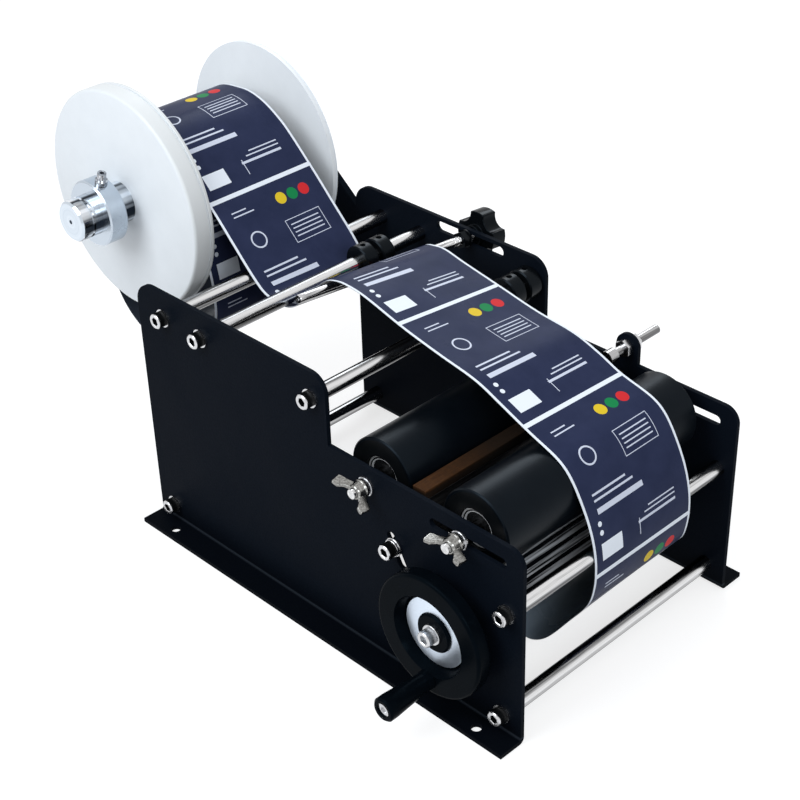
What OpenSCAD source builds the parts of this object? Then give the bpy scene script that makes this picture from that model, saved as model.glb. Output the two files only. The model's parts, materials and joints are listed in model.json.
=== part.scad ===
// Hand-cranked roller labeller for round bottles.
// Places are given from the left plate's outer face (x), the front edge of the plates (y)
// and the underside of the feet (z). The origin is the centre of the four foot holes.

/* [Side plates] */
// Width over the outer faces of the two side plates
frame_w = 192.8; // [185:0.2:215]
// Thickness of the bent steel sheet
plate_t = 3; // [2.5:0.1:4]
// Length of a side plate, front to rear
plate_len = 326; // [322:1:340]
// Height of the rear tower
tower_h = 179.8; // [174:0.2:190]
// Height of the low front part that carries the bottle rollers
front_h = 134.6; // [130:0.2:138]
// Length of the rear tower
tower_len = 174.6; // [168:0.2:178]
// Corner radius at the top rear of the tower
rear_corner_r = 15; // [8:0.5:20]
// Corner radius at the top front of the tower
tower_corner_r = 12.5; // [6:0.5:15]
// Corner radius at the top of the front edge
front_corner_r = 10.5; // [5:0.5:15]
// Width of the foot flange, from the plate's outer face
foot_w = 16.6; // [14.5:0.1:30]
// Inside radius of the foot bend
bend_r = 1; // [0.5:0.1:1.5]
// Diameter of the foot holes
foot_hole_d = 6.6; // [5:0.1:9]
// Distance of the foot holes from the plate's outer face
foot_hole_out = 9.3; // [8:0.1:11]
// Distance of the foot holes from the ends of the plate
foot_hole_in = 25.5; // [15:0.5:40]

/* [Tie rods] */
// Diameter of the tie rods and roller axles
rod_d = 10; // [9:0.5:11]
// Drop of the three tower rods below the tower's top edge
tower_rod_drop = 17.4; // [15:0.1:20]
// Upper rear rod, distance from the rear edge
upper_rear_in = 26.6; // [22:0.1:30]
// Upper middle rod, distance from the rear edge
upper_mid_in = 63; // [60:0.5:66]
// Tower front rod, distance behind the tower's front edge
tower_front_in = 12.3; // [11:0.1:18]
// Lower rear rod, distance from the rear edge
lower_rear_in = 15.7; // [10:0.1:24]
// Height of the lower rear rod
lower_rear_z = 14.4; // [11:0.1:20]
// Front rod, distance from the front edge
front_rod_in = 11; // [9:0.5:13]
// Drop of the front rod below the front part's top edge
front_rod_drop = 45.1; // [42:0.1:48]
// Lower front rod, distance from the front edge
lower_front_in = 14; // [10:0.5:20]
// Height of the lower front rod
lower_front_z = 15; // [11:0.5:18]

/* [Fasteners] */
// Nominal diameter of the screws
screw_d = 6; // [5:0.5:6]
// Diameter of a socket screw head
head_d = 10; // [9:0.5:11]
// Height of a socket screw head
head_h = 6; // [4:0.5:6.5]
// Width across the flats of the socket
socket_af = 5; // [4:0.5:5]
// Outer diameter of a flat washer
washer_d = 12; // [11:0.5:12.5]
// Thickness of a flat washer
washer_t = 1.6; // [1:0.1:1.8]
// Depth of the tapped holes in the rods
tap_depth = 16; // [13:0.5:20]
// Width of a nut across its flats
nut_af = 10; // [9:0.5:11]
// Thickness of a nut
nut_t = 5; // [4:0.5:6]

/* [Bottle rollers] */
// Outside diameter of the rubber-covered rollers
roller_d = 49.6; // [46:0.2:50]
// Thickness of the rubber cover
cover_t = 2; // [1:0.5:3]
// Distance of the rollers' left ends from the left plate's inner face
roller_side = 9; // [7:0.5:10]
// Distance of the rollers' right ends from the right plate's inner face
roller_end = 10.8; // [8:0.1:12]
// Drop of the roller axles below the front part's top edge
axle_drop = 12.5; // [10:0.5:14]
// Front roller axle, distance from the front edge
front_axle_in = 45.7; // [44:0.1:47]
// Distance between the two roller axles
axle_pitch = 73.8; // [73.4:0.1:80]
// Outside diameter of a roller bearing
bearing_d = 26; // [22:1:30]
// Width of a roller bearing
bearing_w = 8; // [6:0.5:10]
// Length of the slot for the front axle
axle_slot_l = 57.4; // [56:0.2:60]
// Shift of the slot's middle in front of the axle
axle_slot_shift = 5; // [4:0.5:6]

/* [Drive] */
// Drive shaft, distance from the front edge
drive_in = 54.3; // [53:0.1:57]
// Height of the drive shaft
drive_z = 58.7; // [57:0.1:60]
// Outside diameter of the fluted drive roller
drive_d = 40; // [36:0.5:41]
// Number of flutes round the drive roller
flutes = 20; // [16:1:24]
// Diameter of the cutter that makes a flute
flute_d = 3; // [2:0.5:4]
// Diameter of the drive roller's metal core
core_d = 32; // [28:1:34]
// Length of the drive and press rollers
feed_l = 160; // [140:1:165]
// Diameter of the press roller under the drive roller
press_d = 21; // [18:0.5:22]
// Gap of the nip between the drive roller and the press roller
nip = 1; // [0.9:0.1:1.5]
// Angle of the press roller below the drive roller
press_angle = 45.5; // [44:0.5:47]
// Outside diameter of the shaft bushings
bushing_d = 14; // [13:0.5:16]
// Diameter of the washers on the drive shaft's ends
end_washer_d = 13; // [12:0.5:17]

/* [Handwheel] */
// Diameter of the handwheel
wheel_d = 80; // [70:1:84]
// Depth of the handwheel rim
wheel_t = 10.4; // [9:0.1:13]
// Gap between the handwheel and the left plate
wheel_gap = 8.6; // [8.6:0.1:11]
// Diameter of the dished opening in the wheel's face
dish_d = 53; // [48:1:56]
// Diameter of the hub
hub_d = 25; // [22:1:30]
// Radius of the circle that the crank grip sits on
crank_r = 30.5; // [30:0.5:32]
// Length of the crank grip
grip_l = 36; // [28:1:44]
// Diameter of the grip at its outer end
grip_d = 15.5; // [13:0.5:17]

/* [Reel] */
// Diameter of the left reel flange
flange_d = 154; // [148:1:156]
// Diameter of the right reel flange
right_flange_d = 148; // [140:1:150]
// Thickness of the left reel flange
flange_t = 16; // [13:0.5:16.5]
// Thickness of the right reel flange
right_flange_t = 5; // [4:0.5:8]
// Gap between the right flange and the spindle's base
reel_clear = 9.2; // [8.5:0.1:10]
// Clear width between the flanges
reel_gap = 107.5; // [106:0.5:110]
// Distance of the reel axis behind the rear edge of the plates
reel_behind = 77; // [76.5:0.5:84]
// Height of the reel axis above the tower's top edge
reel_above = 10.7; // [8:0.1:14]
// Diameter of the spindle
spindle_d = 28; // [25:0.5:30]
// Reach of the spindle's free end beyond the lock collar
spindle_out = 16; // [14:0.5:22]
// Diameter of the label roll
roll_d = 97; // [92:0.5:99]
// Inside diameter of the cardboard core
core_id = 40; // [38:0.5:44]
// Wall of the cardboard core
core_wall = 3; // [2:0.5:4]
// Outside diameter of the lock collar
collar_d = 45; // [40:1:48]
// Length of the lock collar
collar_l = 14; // [11:0.5:18]
// Gap between the lock collar and the left flange
collar_gap = 11.7; // [11:0.1:14]
// Lean of the lock screw towards the front
lock_lean = 16; // [0:1:30]
// Thickness of the reel arm
arm_t = 5; // [4:0.5:6]
// Width of the reel arm
arm_w = 45; // [44:1:48]
// Length of the reel arm from the spindle to its lower end
arm_l = 146; // [140:1:150]
// Slope of the reel arm
arm_slope = 39.3; // [38:0.1:40]

/* [Label web] */
// Width of the label web
web_w = 88; // [84:1:92]
// Gap between the left flange and the web's left edge
web_in = 1.7; // [1:0.1:3.5]
// Thickness of the labels on their liner
web_t = 0.35; // [0.3:0.01:0.4]

/* [Guide rod] */
// Diameter of the guide rod
guide_d = 6; // [5:0.5:6.5]
// Guide rod at the right plate, distance from the front edge
guide_in = 219.3; // [217:0.1:222]
// Drop of the guide rod's slot below the tower's top edge
guide_drop = 6.4; // [6.2:0.1:8]
// Reach of the guide rod from the right plate
guide_l = 150; // [140:1:158]
// Lean of the guide rod's free end above the level
guide_lean = 5.7; // [5.5:0.1:6]
// Length of the guide rod's slot
guide_slot_l = 60; // [56:1:62]
// Width of the guide rod's slot
guide_slot_w = 7.5; // [7.2:0.1:8]
// Diameter of the star knob
knob_d = 32; // [28:1:34]

/* [Edge collars] */
// Outside diameter of an edge collar
edge_d = 22; // [18:0.5:24]
// Width of an edge collar
edge_w = 10.5; // [8:0.5:11]
// Gap between two neighbouring edge collars
edge_gap = 4; // [2:0.5:6]
// Distance of the collars on the middle rod from the right plate's inner face
mid_collar_end = 33.3; // [32:0.1:36]
// Distance of the collars on the tower rod from the right plate's inner face
tower_collar_end = 1; // [0.8:0.1:3]

/* [Bottle stop] */
// Bottle stop, distance from the front edge
stop_in = 84.3; // [82:0.1:87]
// Width of the lug on the right plate
lug_w = 17; // [16:0.5:19]
// Height of the lug above the front part's top edge
lug_h = 19.4; // [18:0.1:22]
// Diameter of the stop rod
stop_d = 6; // [5:0.5:6]
// Reach of the stop rod inside the right plate
stop_reach = 20; // [16:0.5:24]
// Reach of the stop rod outside the right plate
stop_tail = 26; // [20:0.5:32]
// Diameter of the stop rod's tip
stop_tip_d = 9; // [8:0.5:10]

/* [Peel bar] */
// Peel bar rod, distance from the front edge
peel_in = 97.9; // [97:0.1:99]
// Drop of the peel bar rod below the front part's top edge
peel_drop = 44.9; // [44:0.1:46]
// Slope of the peel bar's slot
peel_slope = 61.6; // [60:0.2:63]
// Length of the peel bar's slot
peel_slot_l = 24.4; // [23:0.2:26]
// Height of the peel bar's top above its rod
peel_rise = 41.8; // [40:0.2:43]
// Width of the wooden peel strip
strip_w = 10; // [8:0.5:10.5]
// Thickness of the wooden peel strip
strip_t = 6; // [3:0.5:8]

/* [Hidden] */
$fn = 72;

// Clearances: a seated fit within one body, a running fit and a free gap between bodies
seat = 0.02;
run = 0.05;
free = 0.3;
hole_d = screw_d + 0.4;
slot_w = screw_d + 0.6;
inner_w = frame_w - 2 * plate_t;
right_in = frame_w - plate_t;
sheet_z = plate_t + bend_r;
roller_l = inner_w - roller_side - roller_end;

// Places of the rods and axles as [from the front edge, above the floor]
tower_y = plate_len - tower_len;
tower_rod_z = tower_h - tower_rod_drop;
upper_rear = [plate_len - upper_rear_in, tower_rod_z];
upper_mid = [plate_len - upper_mid_in, tower_rod_z];
tower_front = [tower_y + tower_front_in, tower_rod_z];
lower_rear = [plate_len - lower_rear_in, lower_rear_z];
front_mid = [front_rod_in, front_h - front_rod_drop];
lower_front = [lower_front_in, lower_front_z];
rod_places = [upper_rear, upper_mid, tower_front, lower_rear, front_mid, lower_front];
axle_z = front_h - axle_drop;
front_axle_at = [front_axle_in, axle_z];
rear_axle_at = [front_axle_in + axle_pitch, axle_z];
drive_at = [drive_in, drive_z];
press_reach = (drive_d + press_d) / 2 + nip;
press_at = drive_at + press_reach * [cos(press_angle), -sin(press_angle)];
peel_at = [peel_in, front_h - peel_drop];
peel_up = 2.7;
reel_at = [plate_len + reel_behind, tower_h + reel_above];
guide_z = tower_h - guide_drop;
stop_z = front_h + lug_h - lug_w / 2;
arm_end = reel_at - arm_l * [cos(arm_slope), sin(arm_slope)];

// Reel, from the spindle's base on the right to its free end on the left
base_t = 5.6;
base_x = frame_w - base_t;
flange_x = base_x - reel_clear - right_flange_t - reel_gap - flange_t;
collar_x = flange_x - collar_gap - collar_l;
spindle_x = collar_x - spindle_out;
web_x = flange_x + flange_t + web_in;

// Stack on an axle end: flat washer, spring washer, then a wing nut on the left or a plain nut
spring_t = 1.5;
nut_x = washer_t + spring_t + free;
nut_h = 7;
stud_out = nut_x + nut_h + 2;
right_stud_out = washer_t + spring_t + nut_t + 1;

// Puts children at a place: from the left face, the front edge and the floor
module at(x, p) {
    translate([x - frame_w / 2, p[0] - plate_len / 2, p[1]]) children();
}

// Turns children's +Z axis along the machine's width, to the right
module along(x, p) {
    at(x, p) rotate([0, 90, 0]) children();
}

// Puts children on the outside of both plates, with +Z pointing outwards
module both_sides(p) {
    at(0, p) rotate([0, -90, 0]) children();
    at(frame_w, p) rotate([0, 90, 0]) children();
}

module tube(od, id, l) {
    difference() {
        cylinder(d = od, h = l);
        translate([0, 0, -1]) cylinder(d = id, h = l + 2);
    }
}

module slot(l, w) {
    square([l - w, w], center = true);
    for (s = [-1, 1]) translate([s * (l - w) / 2, 0]) circle(d = w);
}

// What a corner of radius r loses, for the corner at +X +Y of the point
module corner(r) {
    translate([-r, -r]) difference() {
        square(r + 1);
        circle(r);
    }
}

// Cylinder head screw: its head stands on z = 0 and its shank reaches down by l
module socket_screw(l, d = screw_d, hd = head_d, hh = head_h, af = socket_af) {
    edge = 0.6;
    difference() {
        rotate_extrude() polygon([[0, -l], [d / 2 - run, -l], [d / 2 - run, 0], [hd / 2, 0],
            [hd / 2, hh - edge], [hd / 2 - edge, hh], [0, hh]]);
        translate([0, 0, hh / 2]) cylinder(d = af / cos(30), h = hh, $fn = 6);
    }
}

module washer(od = washer_d, t = washer_t) {
    tube(od, hole_d, t);
}

module hex_nut(af, d, h) {
    difference() {
        cylinder(d = af / cos(30), h = h, $fn = 6);
        translate([0, 0, -1]) cylinder(d = d + 2 * run, h = h + 2);
    }
}

// Outline of a side plate in [from the front edge, above the floor]
module plate_outline(right) {
    difference() {
        union() {
            translate([0, sheet_z]) square([plate_len, front_h - sheet_z]);
            translate([tower_y, sheet_z]) square([tower_len, tower_h - sheet_z]);
            if (right) {
                translate([stop_in - lug_w / 2, sheet_z]) square([lug_w, stop_z - sheet_z]);
                translate([stop_in, stop_z]) circle(d = lug_w);
            }
        }
        translate([plate_len, tower_h]) corner(rear_corner_r);
        translate([tower_y, tower_h]) mirror([1, 0]) corner(tower_corner_r);
        translate([0, front_h]) mirror([1, 0]) corner(front_corner_r);
        for (p = rod_places) translate(p) circle(d = hole_d);
        translate(rear_axle_at) circle(d = hole_d);
        translate(press_at) circle(d = hole_d);
        translate(drive_at) circle(d = bushing_d + 2 * seat);
        translate(front_axle_at - [axle_slot_shift, 0]) slot(axle_slot_l, slot_w);
        translate(peel_at - peel_up * [cos(peel_slope), sin(peel_slope)]) rotate(peel_slope)
            slot(peel_slot_l, slot_w);
        if (right) {
            translate([guide_in - 2, guide_z]) slot(guide_slot_l, guide_slot_w);
            translate([stop_in, stop_z]) circle(d = stop_d + 4 * run);
            for (p = arm_bolts) translate(p) circle(d = hole_d);
        }
    }
}

// Section through the foot: a quarter bend and a flat flange, in [x, z] from the outer face
module foot_section() {
    translate([-bend_r, sheet_z]) difference() {
        circle(bend_r + plate_t);
        circle(bend_r);
        translate([-2 * sheet_z, -2 * sheet_z]) square([2 * sheet_z, 4 * sheet_z]);
        translate([-2 * sheet_z, 0]) square([4 * sheet_z, 2 * sheet_z]);
    }
    translate([-foot_w, 0]) square([foot_w - bend_r, plate_t]);
}

module side_plate(right) {
    foot_hole_y = plate_len / 2 - foot_hole_in;
    translate([-frame_w / 2, -plate_len / 2, 0]) rotate([90, 0, 90])
        linear_extrude(plate_t) plate_outline(right);
    difference() {
        translate([-frame_w / 2, plate_len / 2, 0]) rotate([90, 0, 0])
            linear_extrude(plate_len) foot_section();
        for (s = [-1, 1]) translate([-frame_w / 2 - foot_hole_out, s * foot_hole_y, -1])
            cylinder(d = foot_hole_d, h = plate_t + 2);
    }
}

module side_plate_left() {
    color("#20262e") side_plate(false);
}

module side_plate_right() {
    color("#20262e") mirror([1, 0, 0]) side_plate(true);
}

// A rod between the plates, tapped at both ends
module tie_rod(p) {
    color("#c9ccd0") along(plate_t, p) difference() {
        cylinder(d = rod_d, h = inner_w);
        for (z = [-1, inner_w - tap_depth]) translate([0, 0, z]) cylinder(d = screw_d, h = tap_depth + 1);
    }
}

module upper_rear_rod() {
    tie_rod(upper_rear);
}

module upper_mid_rod() {
    tie_rod(upper_mid);
}

module tower_rod() {
    tie_rod(tower_front);
}

module lower_rear_rod() {
    tie_rod(lower_rear);
}

module front_rod() {
    tie_rod(front_mid);
}

module lower_front_rod() {
    tie_rod(lower_front);
}

module frame_screws() {
    color("#2b2d30") for (p = rod_places) both_sides(p)
        translate([0, 0, washer_t]) socket_screw(washer_t + plate_t + tap_depth - 3);
}

module frame_washers() {
    color("#b9bcc0") {
        for (p = rod_places) both_sides(p) washer();
        both_sides(rear_axle_at) {
            washer();
            translate([0, 0, washer_t]) washer(washer_d - 1, spring_t);
        }
    }
}

// Two bolts hold the arm to the right plate, on the arm's middle line
arm_bolts = [for (d = [4, 34]) arm_end + d * [cos(arm_slope), sin(arm_slope)]];

module reel_arm() {
    color("#20262e") translate([frame_w / 2, -plate_len / 2, 0]) rotate([90, 0, 90])
        linear_extrude(arm_t) difference() {
            union() {
                translate(arm_end) circle(d = arm_w);
                translate(reel_at) circle(d = arm_w);
                translate(arm_end) rotate(arm_slope) translate([0, -arm_w / 2]) square([arm_l, arm_w]);
            }
            for (p = arm_bolts) translate(p) circle(d = hole_d);
            translate(reel_at) circle(d = 8.4);
        }
}

module arm_screws() {
    color("#2b2d30") for (p = arm_bolts) {
        along(frame_w + arm_t, p) socket_screw(arm_t + plate_t + nut_t + 3);
        along(right_in - nut_t, p) hex_nut(nut_af, screw_d, nut_t);
    }
}

module reel_spindle() {
    groove_x = 8;
    l = base_x - spindle_x;
    r = spindle_d / 2;
    edge = 1.5;
    color("#d7dade") along(spindle_x, reel_at) difference() {
        rotate_extrude() polygon([[0, 0], [r - edge, 0], [r, edge], [r, groove_x], [r - 1, groove_x],
            [r - 1, groove_x + 2], [r, groove_x + 2], [r, l], [r + 8, l], [r + 8, l + base_t],
            [0, l + base_t]]);
        translate([0, 0, l + base_t - 30]) cylinder(d = 8 + 2 * run, h = 31);
        translate([0, 0, -1]) cylinder(d = 3, h = 2.2);
    }
}

module spindle_bolt() {
    color("#2b2d30") along(frame_w + arm_t, reel_at) socket_screw(arm_t + 24, 8, 13, 8, 6);
}

// Flange with a rounded outer edge, a groove near its inner lip and a spigot for the core
module reel_flange(d, t, edge_r, groove) {
    spigot = 10;
    r = d / 2;
    bore = spindle_d / 2 + run;
    rotate_extrude() difference() {
        union() {
            translate([bore, 0]) square([r - edge_r - bore, t]);
            translate([r - edge_r, edge_r]) circle(edge_r);
            translate([r - edge_r - 1, edge_r]) square([edge_r + 1, t - edge_r]);
            translate([bore, 0]) square([core_id / 2 - seat - bore, t + spigot]);
        }
        translate([r - groove, t - 4]) square([groove + 1, 1.4]);
    }
}

module reel_flange_left() {
    color("#f2f4f6") along(flange_x, reel_at) reel_flange(flange_d, flange_t, 5, 1.2);
}

module reel_flange_right() {
    color("#f2f4f6") along(flange_x + flange_t + reel_gap + right_flange_t, reel_at)
        mirror([0, 0, 1]) reel_flange(right_flange_d, right_flange_t, 1.5, 0.6);
}

module reel_core() {
    color("#b08f66") along(flange_x + flange_t, reel_at) tube(core_id + 2 * core_wall, core_id, reel_gap);
}

module label_roll() {
    color("#2e3650") along(web_x, reel_at) tube(roll_d, core_id + 2 * core_wall + 2 * seat, web_w);
}

// Lock collar: its lock screw stands out of it, leaning towards the front
lock_x = collar_x + collar_l / 2;
lock_d = 6;

module lock_frame() {
    at(lock_x, reel_at) rotate([lock_lean, 0, 0]) children();
}

module lock_collar() {
    edge = 1;
    r = collar_d / 2;
    bore = spindle_d / 2 + run;
    color("#d7dade") difference() {
        along(collar_x, reel_at) rotate_extrude() polygon([[bore, 0], [r - edge, 0], [r, edge],
            [r, collar_l - edge], [r - edge, collar_l], [bore, collar_l]]);
        lock_frame() cylinder(d = lock_d + 2 * run, h = collar_d);
    }
}

module lock_screw() {
    tip = spindle_d / 2 + free;
    stand = collar_d / 2 + 8.5;
    neck = 3;
    foot = collar_d / 2 + run;
    color("#b9bcc0") lock_frame() difference() {
        union() {
            translate([0, 0, tip]) cylinder(d = lock_d, h = stand - tip);
            translate([0, 0, foot]) cylinder(d = lock_d + 2.4, h = neck);
        }
        translate([0, 0, stand - 3]) cylinder(d = 3 / cos(30), h = 4, $fn = 6);
    }
}

// Axle with two threaded ends that reach through the plates
module axle(p, play) {
    color("#c9ccd0") {
        along(plate_t + play, p) cylinder(d = rod_d, h = inner_w - 2 * play);
        along(-stud_out, p) cylinder(d = screw_d, h = stud_out + plate_t + play + 1);
        along(right_in - play - 1, p) cylinder(d = screw_d, h = right_stud_out + plate_t + play + 1);
    }
}

module rear_axle() {
    axle(rear_axle_at, 0);
}

module front_axle() {
    axle(front_axle_at, free);
}

module front_axle_washers() {
    color("#b9bcc0") both_sides(front_axle_at) {
        translate([0, 0, free]) washer(washer_d, washer_t - free);
        translate([0, 0, washer_t]) washer(washer_d - 1, spring_t);
    }
}

// Metal tube with closed ends that hold the bearings, set in from the end faces
bearing_in = 2;
plug_l = bearing_w + bearing_in + 4;

module roller_tube(p) {
    wall = 3;
    d = roller_d - 2 * cover_t;
    color("#3a3e44") along(plate_t + roller_side, p) difference() {
        cylinder(d = d, h = roller_l);
        translate([0, 0, -1]) cylinder(d = rod_d + 4, h = roller_l + 2);
        translate([0, 0, plug_l]) cylinder(d = d - 2 * wall, h = roller_l - 2 * plug_l);
        for (z = [-1, roller_l - bearing_in - bearing_w]) translate([0, 0, z])
            cylinder(d = bearing_d + 2 * seat, h = bearing_in + bearing_w + 1);
    }
}

module roller_cover(p) {
    edge = 0.8;
    r = roller_d / 2;
    bore = r - cover_t + seat;
    color("#1b1e22") along(plate_t + roller_side, p) rotate_extrude() polygon([[bore, 0], [r - edge, 0],
        [r, edge], [r, roller_l - edge], [r - edge, roller_l], [bore, roller_l]]);
}

// A bearing seen from its end: two bright rings round a recessed shield
module bearing() {
    ring = 3;
    recess = 0.8;
    difference() {
        tube(bearing_d, rod_d + 2 * run, bearing_w);
        for (z = [-1, bearing_w - recess]) translate([0, 0, z])
            tube(bearing_d - 2 * ring, rod_d + ring, recess + 1);
    }
}

module bearings(p) {
    color("#b9bcc0") for (x = [bearing_in, roller_l - bearing_in - bearing_w])
        along(plate_t + roller_side + x, p) bearing();
}

module front_roller_tube() {
    roller_tube(front_axle_at);
}

module front_roller_cover() {
    roller_cover(front_axle_at);
}

module front_bearings() {
    bearings(front_axle_at);
}

module rear_roller_tube() {
    roller_tube(rear_axle_at);
}

module rear_roller_cover() {
    roller_cover(rear_axle_at);
}

module rear_bearings() {
    bearings(rear_axle_at);
}

// Wing nut on z = 0: a tapered hub and two flat wings that lean outwards
module wing_nut(turn) {
    wing_t = 2.6;
    difference() {
        union() {
            rotate_extrude() polygon([[0, 0], [6, 0], [6, 1.5], [4.8, nut_h], [0, nut_h]]);
            rotate(turn) for (s = [0, 180]) rotate(s) rotate([90, 0, 0]) translate([0, 0, -wing_t / 2])
                linear_extrude(wing_t) polygon([[1, 2], [5.2, 2], [8, 3.6], [13.6, 5.4], [14.2, 6.2],
                    [13, 12.6], [12.2, 13.2], [8, 11.6], [5, 6.6], [1, 6.6]]);
        }
        translate([0, 0, -1]) cylinder(d = screw_d + 2 * run, h = nut_h + 2);
    }
}

module wing_nut_at(p, turn) {
    color("#a9a89f") at(-nut_x, p) rotate([0, -90, 0]) wing_nut(turn);
}

module front_wing_nut_left() {
    wing_nut_at(front_axle_at, 82);
}

module rear_wing_nut_left() {
    wing_nut_at(rear_axle_at, 64);
}

module axle_nut(p) {
    color("#b9bcc0") along(frame_w + washer_t + spring_t, p) hex_nut(nut_af, screw_d, nut_t);
}

module front_axle_nut_right() {
    axle_nut(front_axle_at);
}

module rear_axle_nut_right() {
    axle_nut(rear_axle_at);
}

// Drive line: shaft in two flanged bushings, core, fluted cover and handwheel
wheel_x = -wheel_gap - wheel_t;
feed_x = (frame_w - feed_l) / 2;
hub_back = 6.6;
hub_front = 4.4;
shaft_x = wheel_x + hub_front + 0.5;
shaft_end = frame_w + 4;
flange_out = 2;

module drive_shaft() {
    l = shaft_end - shaft_x;
    color("#c9ccd0") along(shaft_x, drive_at) difference() {
        cylinder(d = rod_d, h = l);
        for (z = [-1, l - tap_depth]) translate([0, 0, z]) cylinder(d = screw_d, h = tap_depth + 1);
    }
}

module drive_bushings() {
    module bushing() {
        difference() {
            union() {
                cylinder(d = bushing_d, h = plate_t);
                translate([0, 0, plate_t]) cylinder(d = bushing_d + 6, h = flange_out);
            }
            translate([0, 0, -1]) cylinder(d = rod_d + 2 * run, h = plate_t + flange_out + 2);
        }
    }
    color("#a8843f") {
        along(0, drive_at) bushing();
        along(frame_w, drive_at) mirror([0, 0, 1]) bushing();
    }
}

module drive_core() {
    color("#9ea3a8") along(feed_x, drive_at) tube(core_d, rod_d + 2 * seat, feed_l);
}

module drive_cover() {
    color("#1b1e22") along(feed_x, drive_at) linear_extrude(feed_l) difference() {
        circle(d = drive_d);
        circle(d = core_d + 2 * seat);
        for (i = [0 : flutes - 1]) rotate(i * 360 / flutes) translate([drive_d / 2 + flute_d / 4, 0])
            circle(d = flute_d);
    }
}

// Handwheel, drawn with its face on z = 0 and its back at z = wheel_t
floor_z = 7.4;
hub_r = hub_d / 2;

module handwheel() {
    r = wheel_d / 2;
    dish = dish_d / 2;
    edge = 2;
    web = 2.6;
    skirt = 4;
    back = wheel_t + wheel_gap - hub_back + 4.4;
    color("#17191c") along(wheel_x, drive_at) difference() {
        rotate_extrude() difference() {
            union() {
                polygon([[0, hub_front], [hub_r - 1, hub_front], [hub_r, hub_front + 1], [hub_r, floor_z],
                    [dish - 3, floor_z], [dish, 0], [r - edge, 0], [r - edge, wheel_t],
                    [r - skirt - 9, wheel_t], [dish, floor_z + web], [hub_r, floor_z + web],
                    [hub_r - 2, back], [0, back]]);
                translate([r - edge, edge]) circle(edge);
                translate([r - edge - 1, edge]) square([edge + 1, wheel_t - 2 * edge]);
                translate([r - edge, wheel_t - edge]) circle(edge);
            }
        }
        translate([0, 0, -1]) cylinder(d = rod_d + 2 * seat, h = back + 2);
        translate([crank_r, 0, -1]) cylinder(d = screw_d + 2 * seat, h = wheel_t + 2);
    }
}

module handwheel_ring() {
    color("#bcd0ea") along(wheel_x + floor_z - 1, drive_at) tube(2 * (dish_d / 2 - 4), 2 * hub_r + 0.4, 1);
}

module shaft_end_screws() {
    cap_t = 1.5;
    color("#b9bcc0") {
        at(wheel_x + hub_front, drive_at) rotate([0, -90, 0]) {
            tube(end_washer_d, hole_d, cap_t);
            translate([0, 0, cap_t]) socket_screw(cap_t + 10);
        }
        along(shaft_end, drive_at) {
            tube(end_washer_d, hole_d, cap_t);
            translate([0, 0, cap_t]) socket_screw(cap_t + 10);
        }
    }
}

// Crank pin: a shoulder screw in the rim that the grip turns on
crank_at = drive_at - [0, crank_r];
grip_x = wheel_x - free - grip_l;
pin_head_d = 9;
pin_head_t = 2;

module crank_pin() {
    pin_end = grip_x + 1;
    color("#c9ccd0") along(pin_end, crank_at) difference() {
        union() {
            cylinder(d = pin_head_d, h = pin_head_t);
            cylinder(d = screw_d, h = wheel_x - pin_end + wheel_t - 1);
        }
        translate([0, 0, -1]) cylinder(d = 4 / cos(30), h = 2, $fn = 6);
    }
}

module crank_grip() {
    r = grip_d / 2;
    neck = r - 2;
    color("#17191c") along(grip_x, crank_at) difference() {
        rotate_extrude() polygon([[0, 0], [r - 1.2, 0], [r, 1.2], [r, 6], [neck, grip_l - 4],
            [neck + 0.6, grip_l], [0, grip_l]]);
        translate([0, 0, -1]) cylinder(d = pin_head_d + 4 * run, h = 2 + pin_head_t + free);
        cylinder(d = screw_d + 2 * run, h = grip_l + 1);
    }
}

module press_axle() {
    neck = plate_t - 0.2;
    color("#c9ccd0") {
        along(plate_t, press_at) cylinder(d = rod_d, h = inner_w);
        along(plate_t - neck, press_at) cylinder(d = screw_d, h = neck + 1);
        along(right_in - 1, press_at) cylinder(d = screw_d, h = neck + 1);
    }
}

module press_roller() {
    color("#1b1e22") along(feed_x, press_at) tube(press_d, rod_d + 2 * run, feed_l);
}

module stop_nuts() {
    color("#b9bcc0") {
        along(right_in - nut_t, [stop_in, stop_z]) hex_nut(nut_af, stop_d, nut_t);
        along(frame_w, [stop_in, stop_z]) hex_nut(nut_af, stop_d, nut_t);
    }
}

module stop_rod() {
    tip_l = 7;
    color("#c9ccd0") along(right_in - stop_reach, [stop_in, stop_z]) {
        cylinder(d = stop_d, h = stop_reach + plate_t + stop_tail);
        cylinder(d = stop_tip_d, h = tip_l);
    }
}

// Guide rod frame: on the slot's middle, leaning up towards the free end
module guide_frame() {
    at(frame_w - plate_t / 2, [guide_in, guide_z]) rotate([0, guide_lean, 0]) rotate([0, 90, 0]) children();
}

guide_clear = plate_t / 2 + 1.3;
boss_l = 3.5;
head_l = 12;

module guide_rod() {
    color("#c9ccd0") guide_frame() difference() {
        translate([0, 0, -guide_l]) cylinder(d = guide_d, h = guide_l + guide_clear + boss_l + 4);
        translate([0, 0, -guide_l - 1]) cylinder(d = guide_d / 2, h = 6);
    }
}

module guide_rod_nut() {
    pad = 1.2;
    color("#2b2d30") guide_frame() {
        translate([0, 0, -guide_clear - pad]) tube(washer_d, guide_d + 2 * run, pad);
        translate([0, 0, -guide_clear - pad - nut_t]) hex_nut(nut_af, guide_d, nut_t);
    }
}

module star_knob() {
    lobes = 4;
    notch_d = 16;
    color("#1b1e22") guide_frame() translate([0, 0, guide_clear]) difference() {
        union() {
            cylinder(d = 14, h = boss_l + 1);
            translate([0, 0, boss_l]) linear_extrude(head_l) difference() {
                circle(d = knob_d);
                for (i = [0 : lobes - 1]) rotate(45 + i * 360 / lobes)
                    translate([knob_d / 2 + 3.4, 0]) circle(d = notch_d);
            }
        }
        translate([0, 0, -1]) cylinder(d = guide_d + 2 * run, h = boss_l + 5.4);
    }
}

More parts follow.
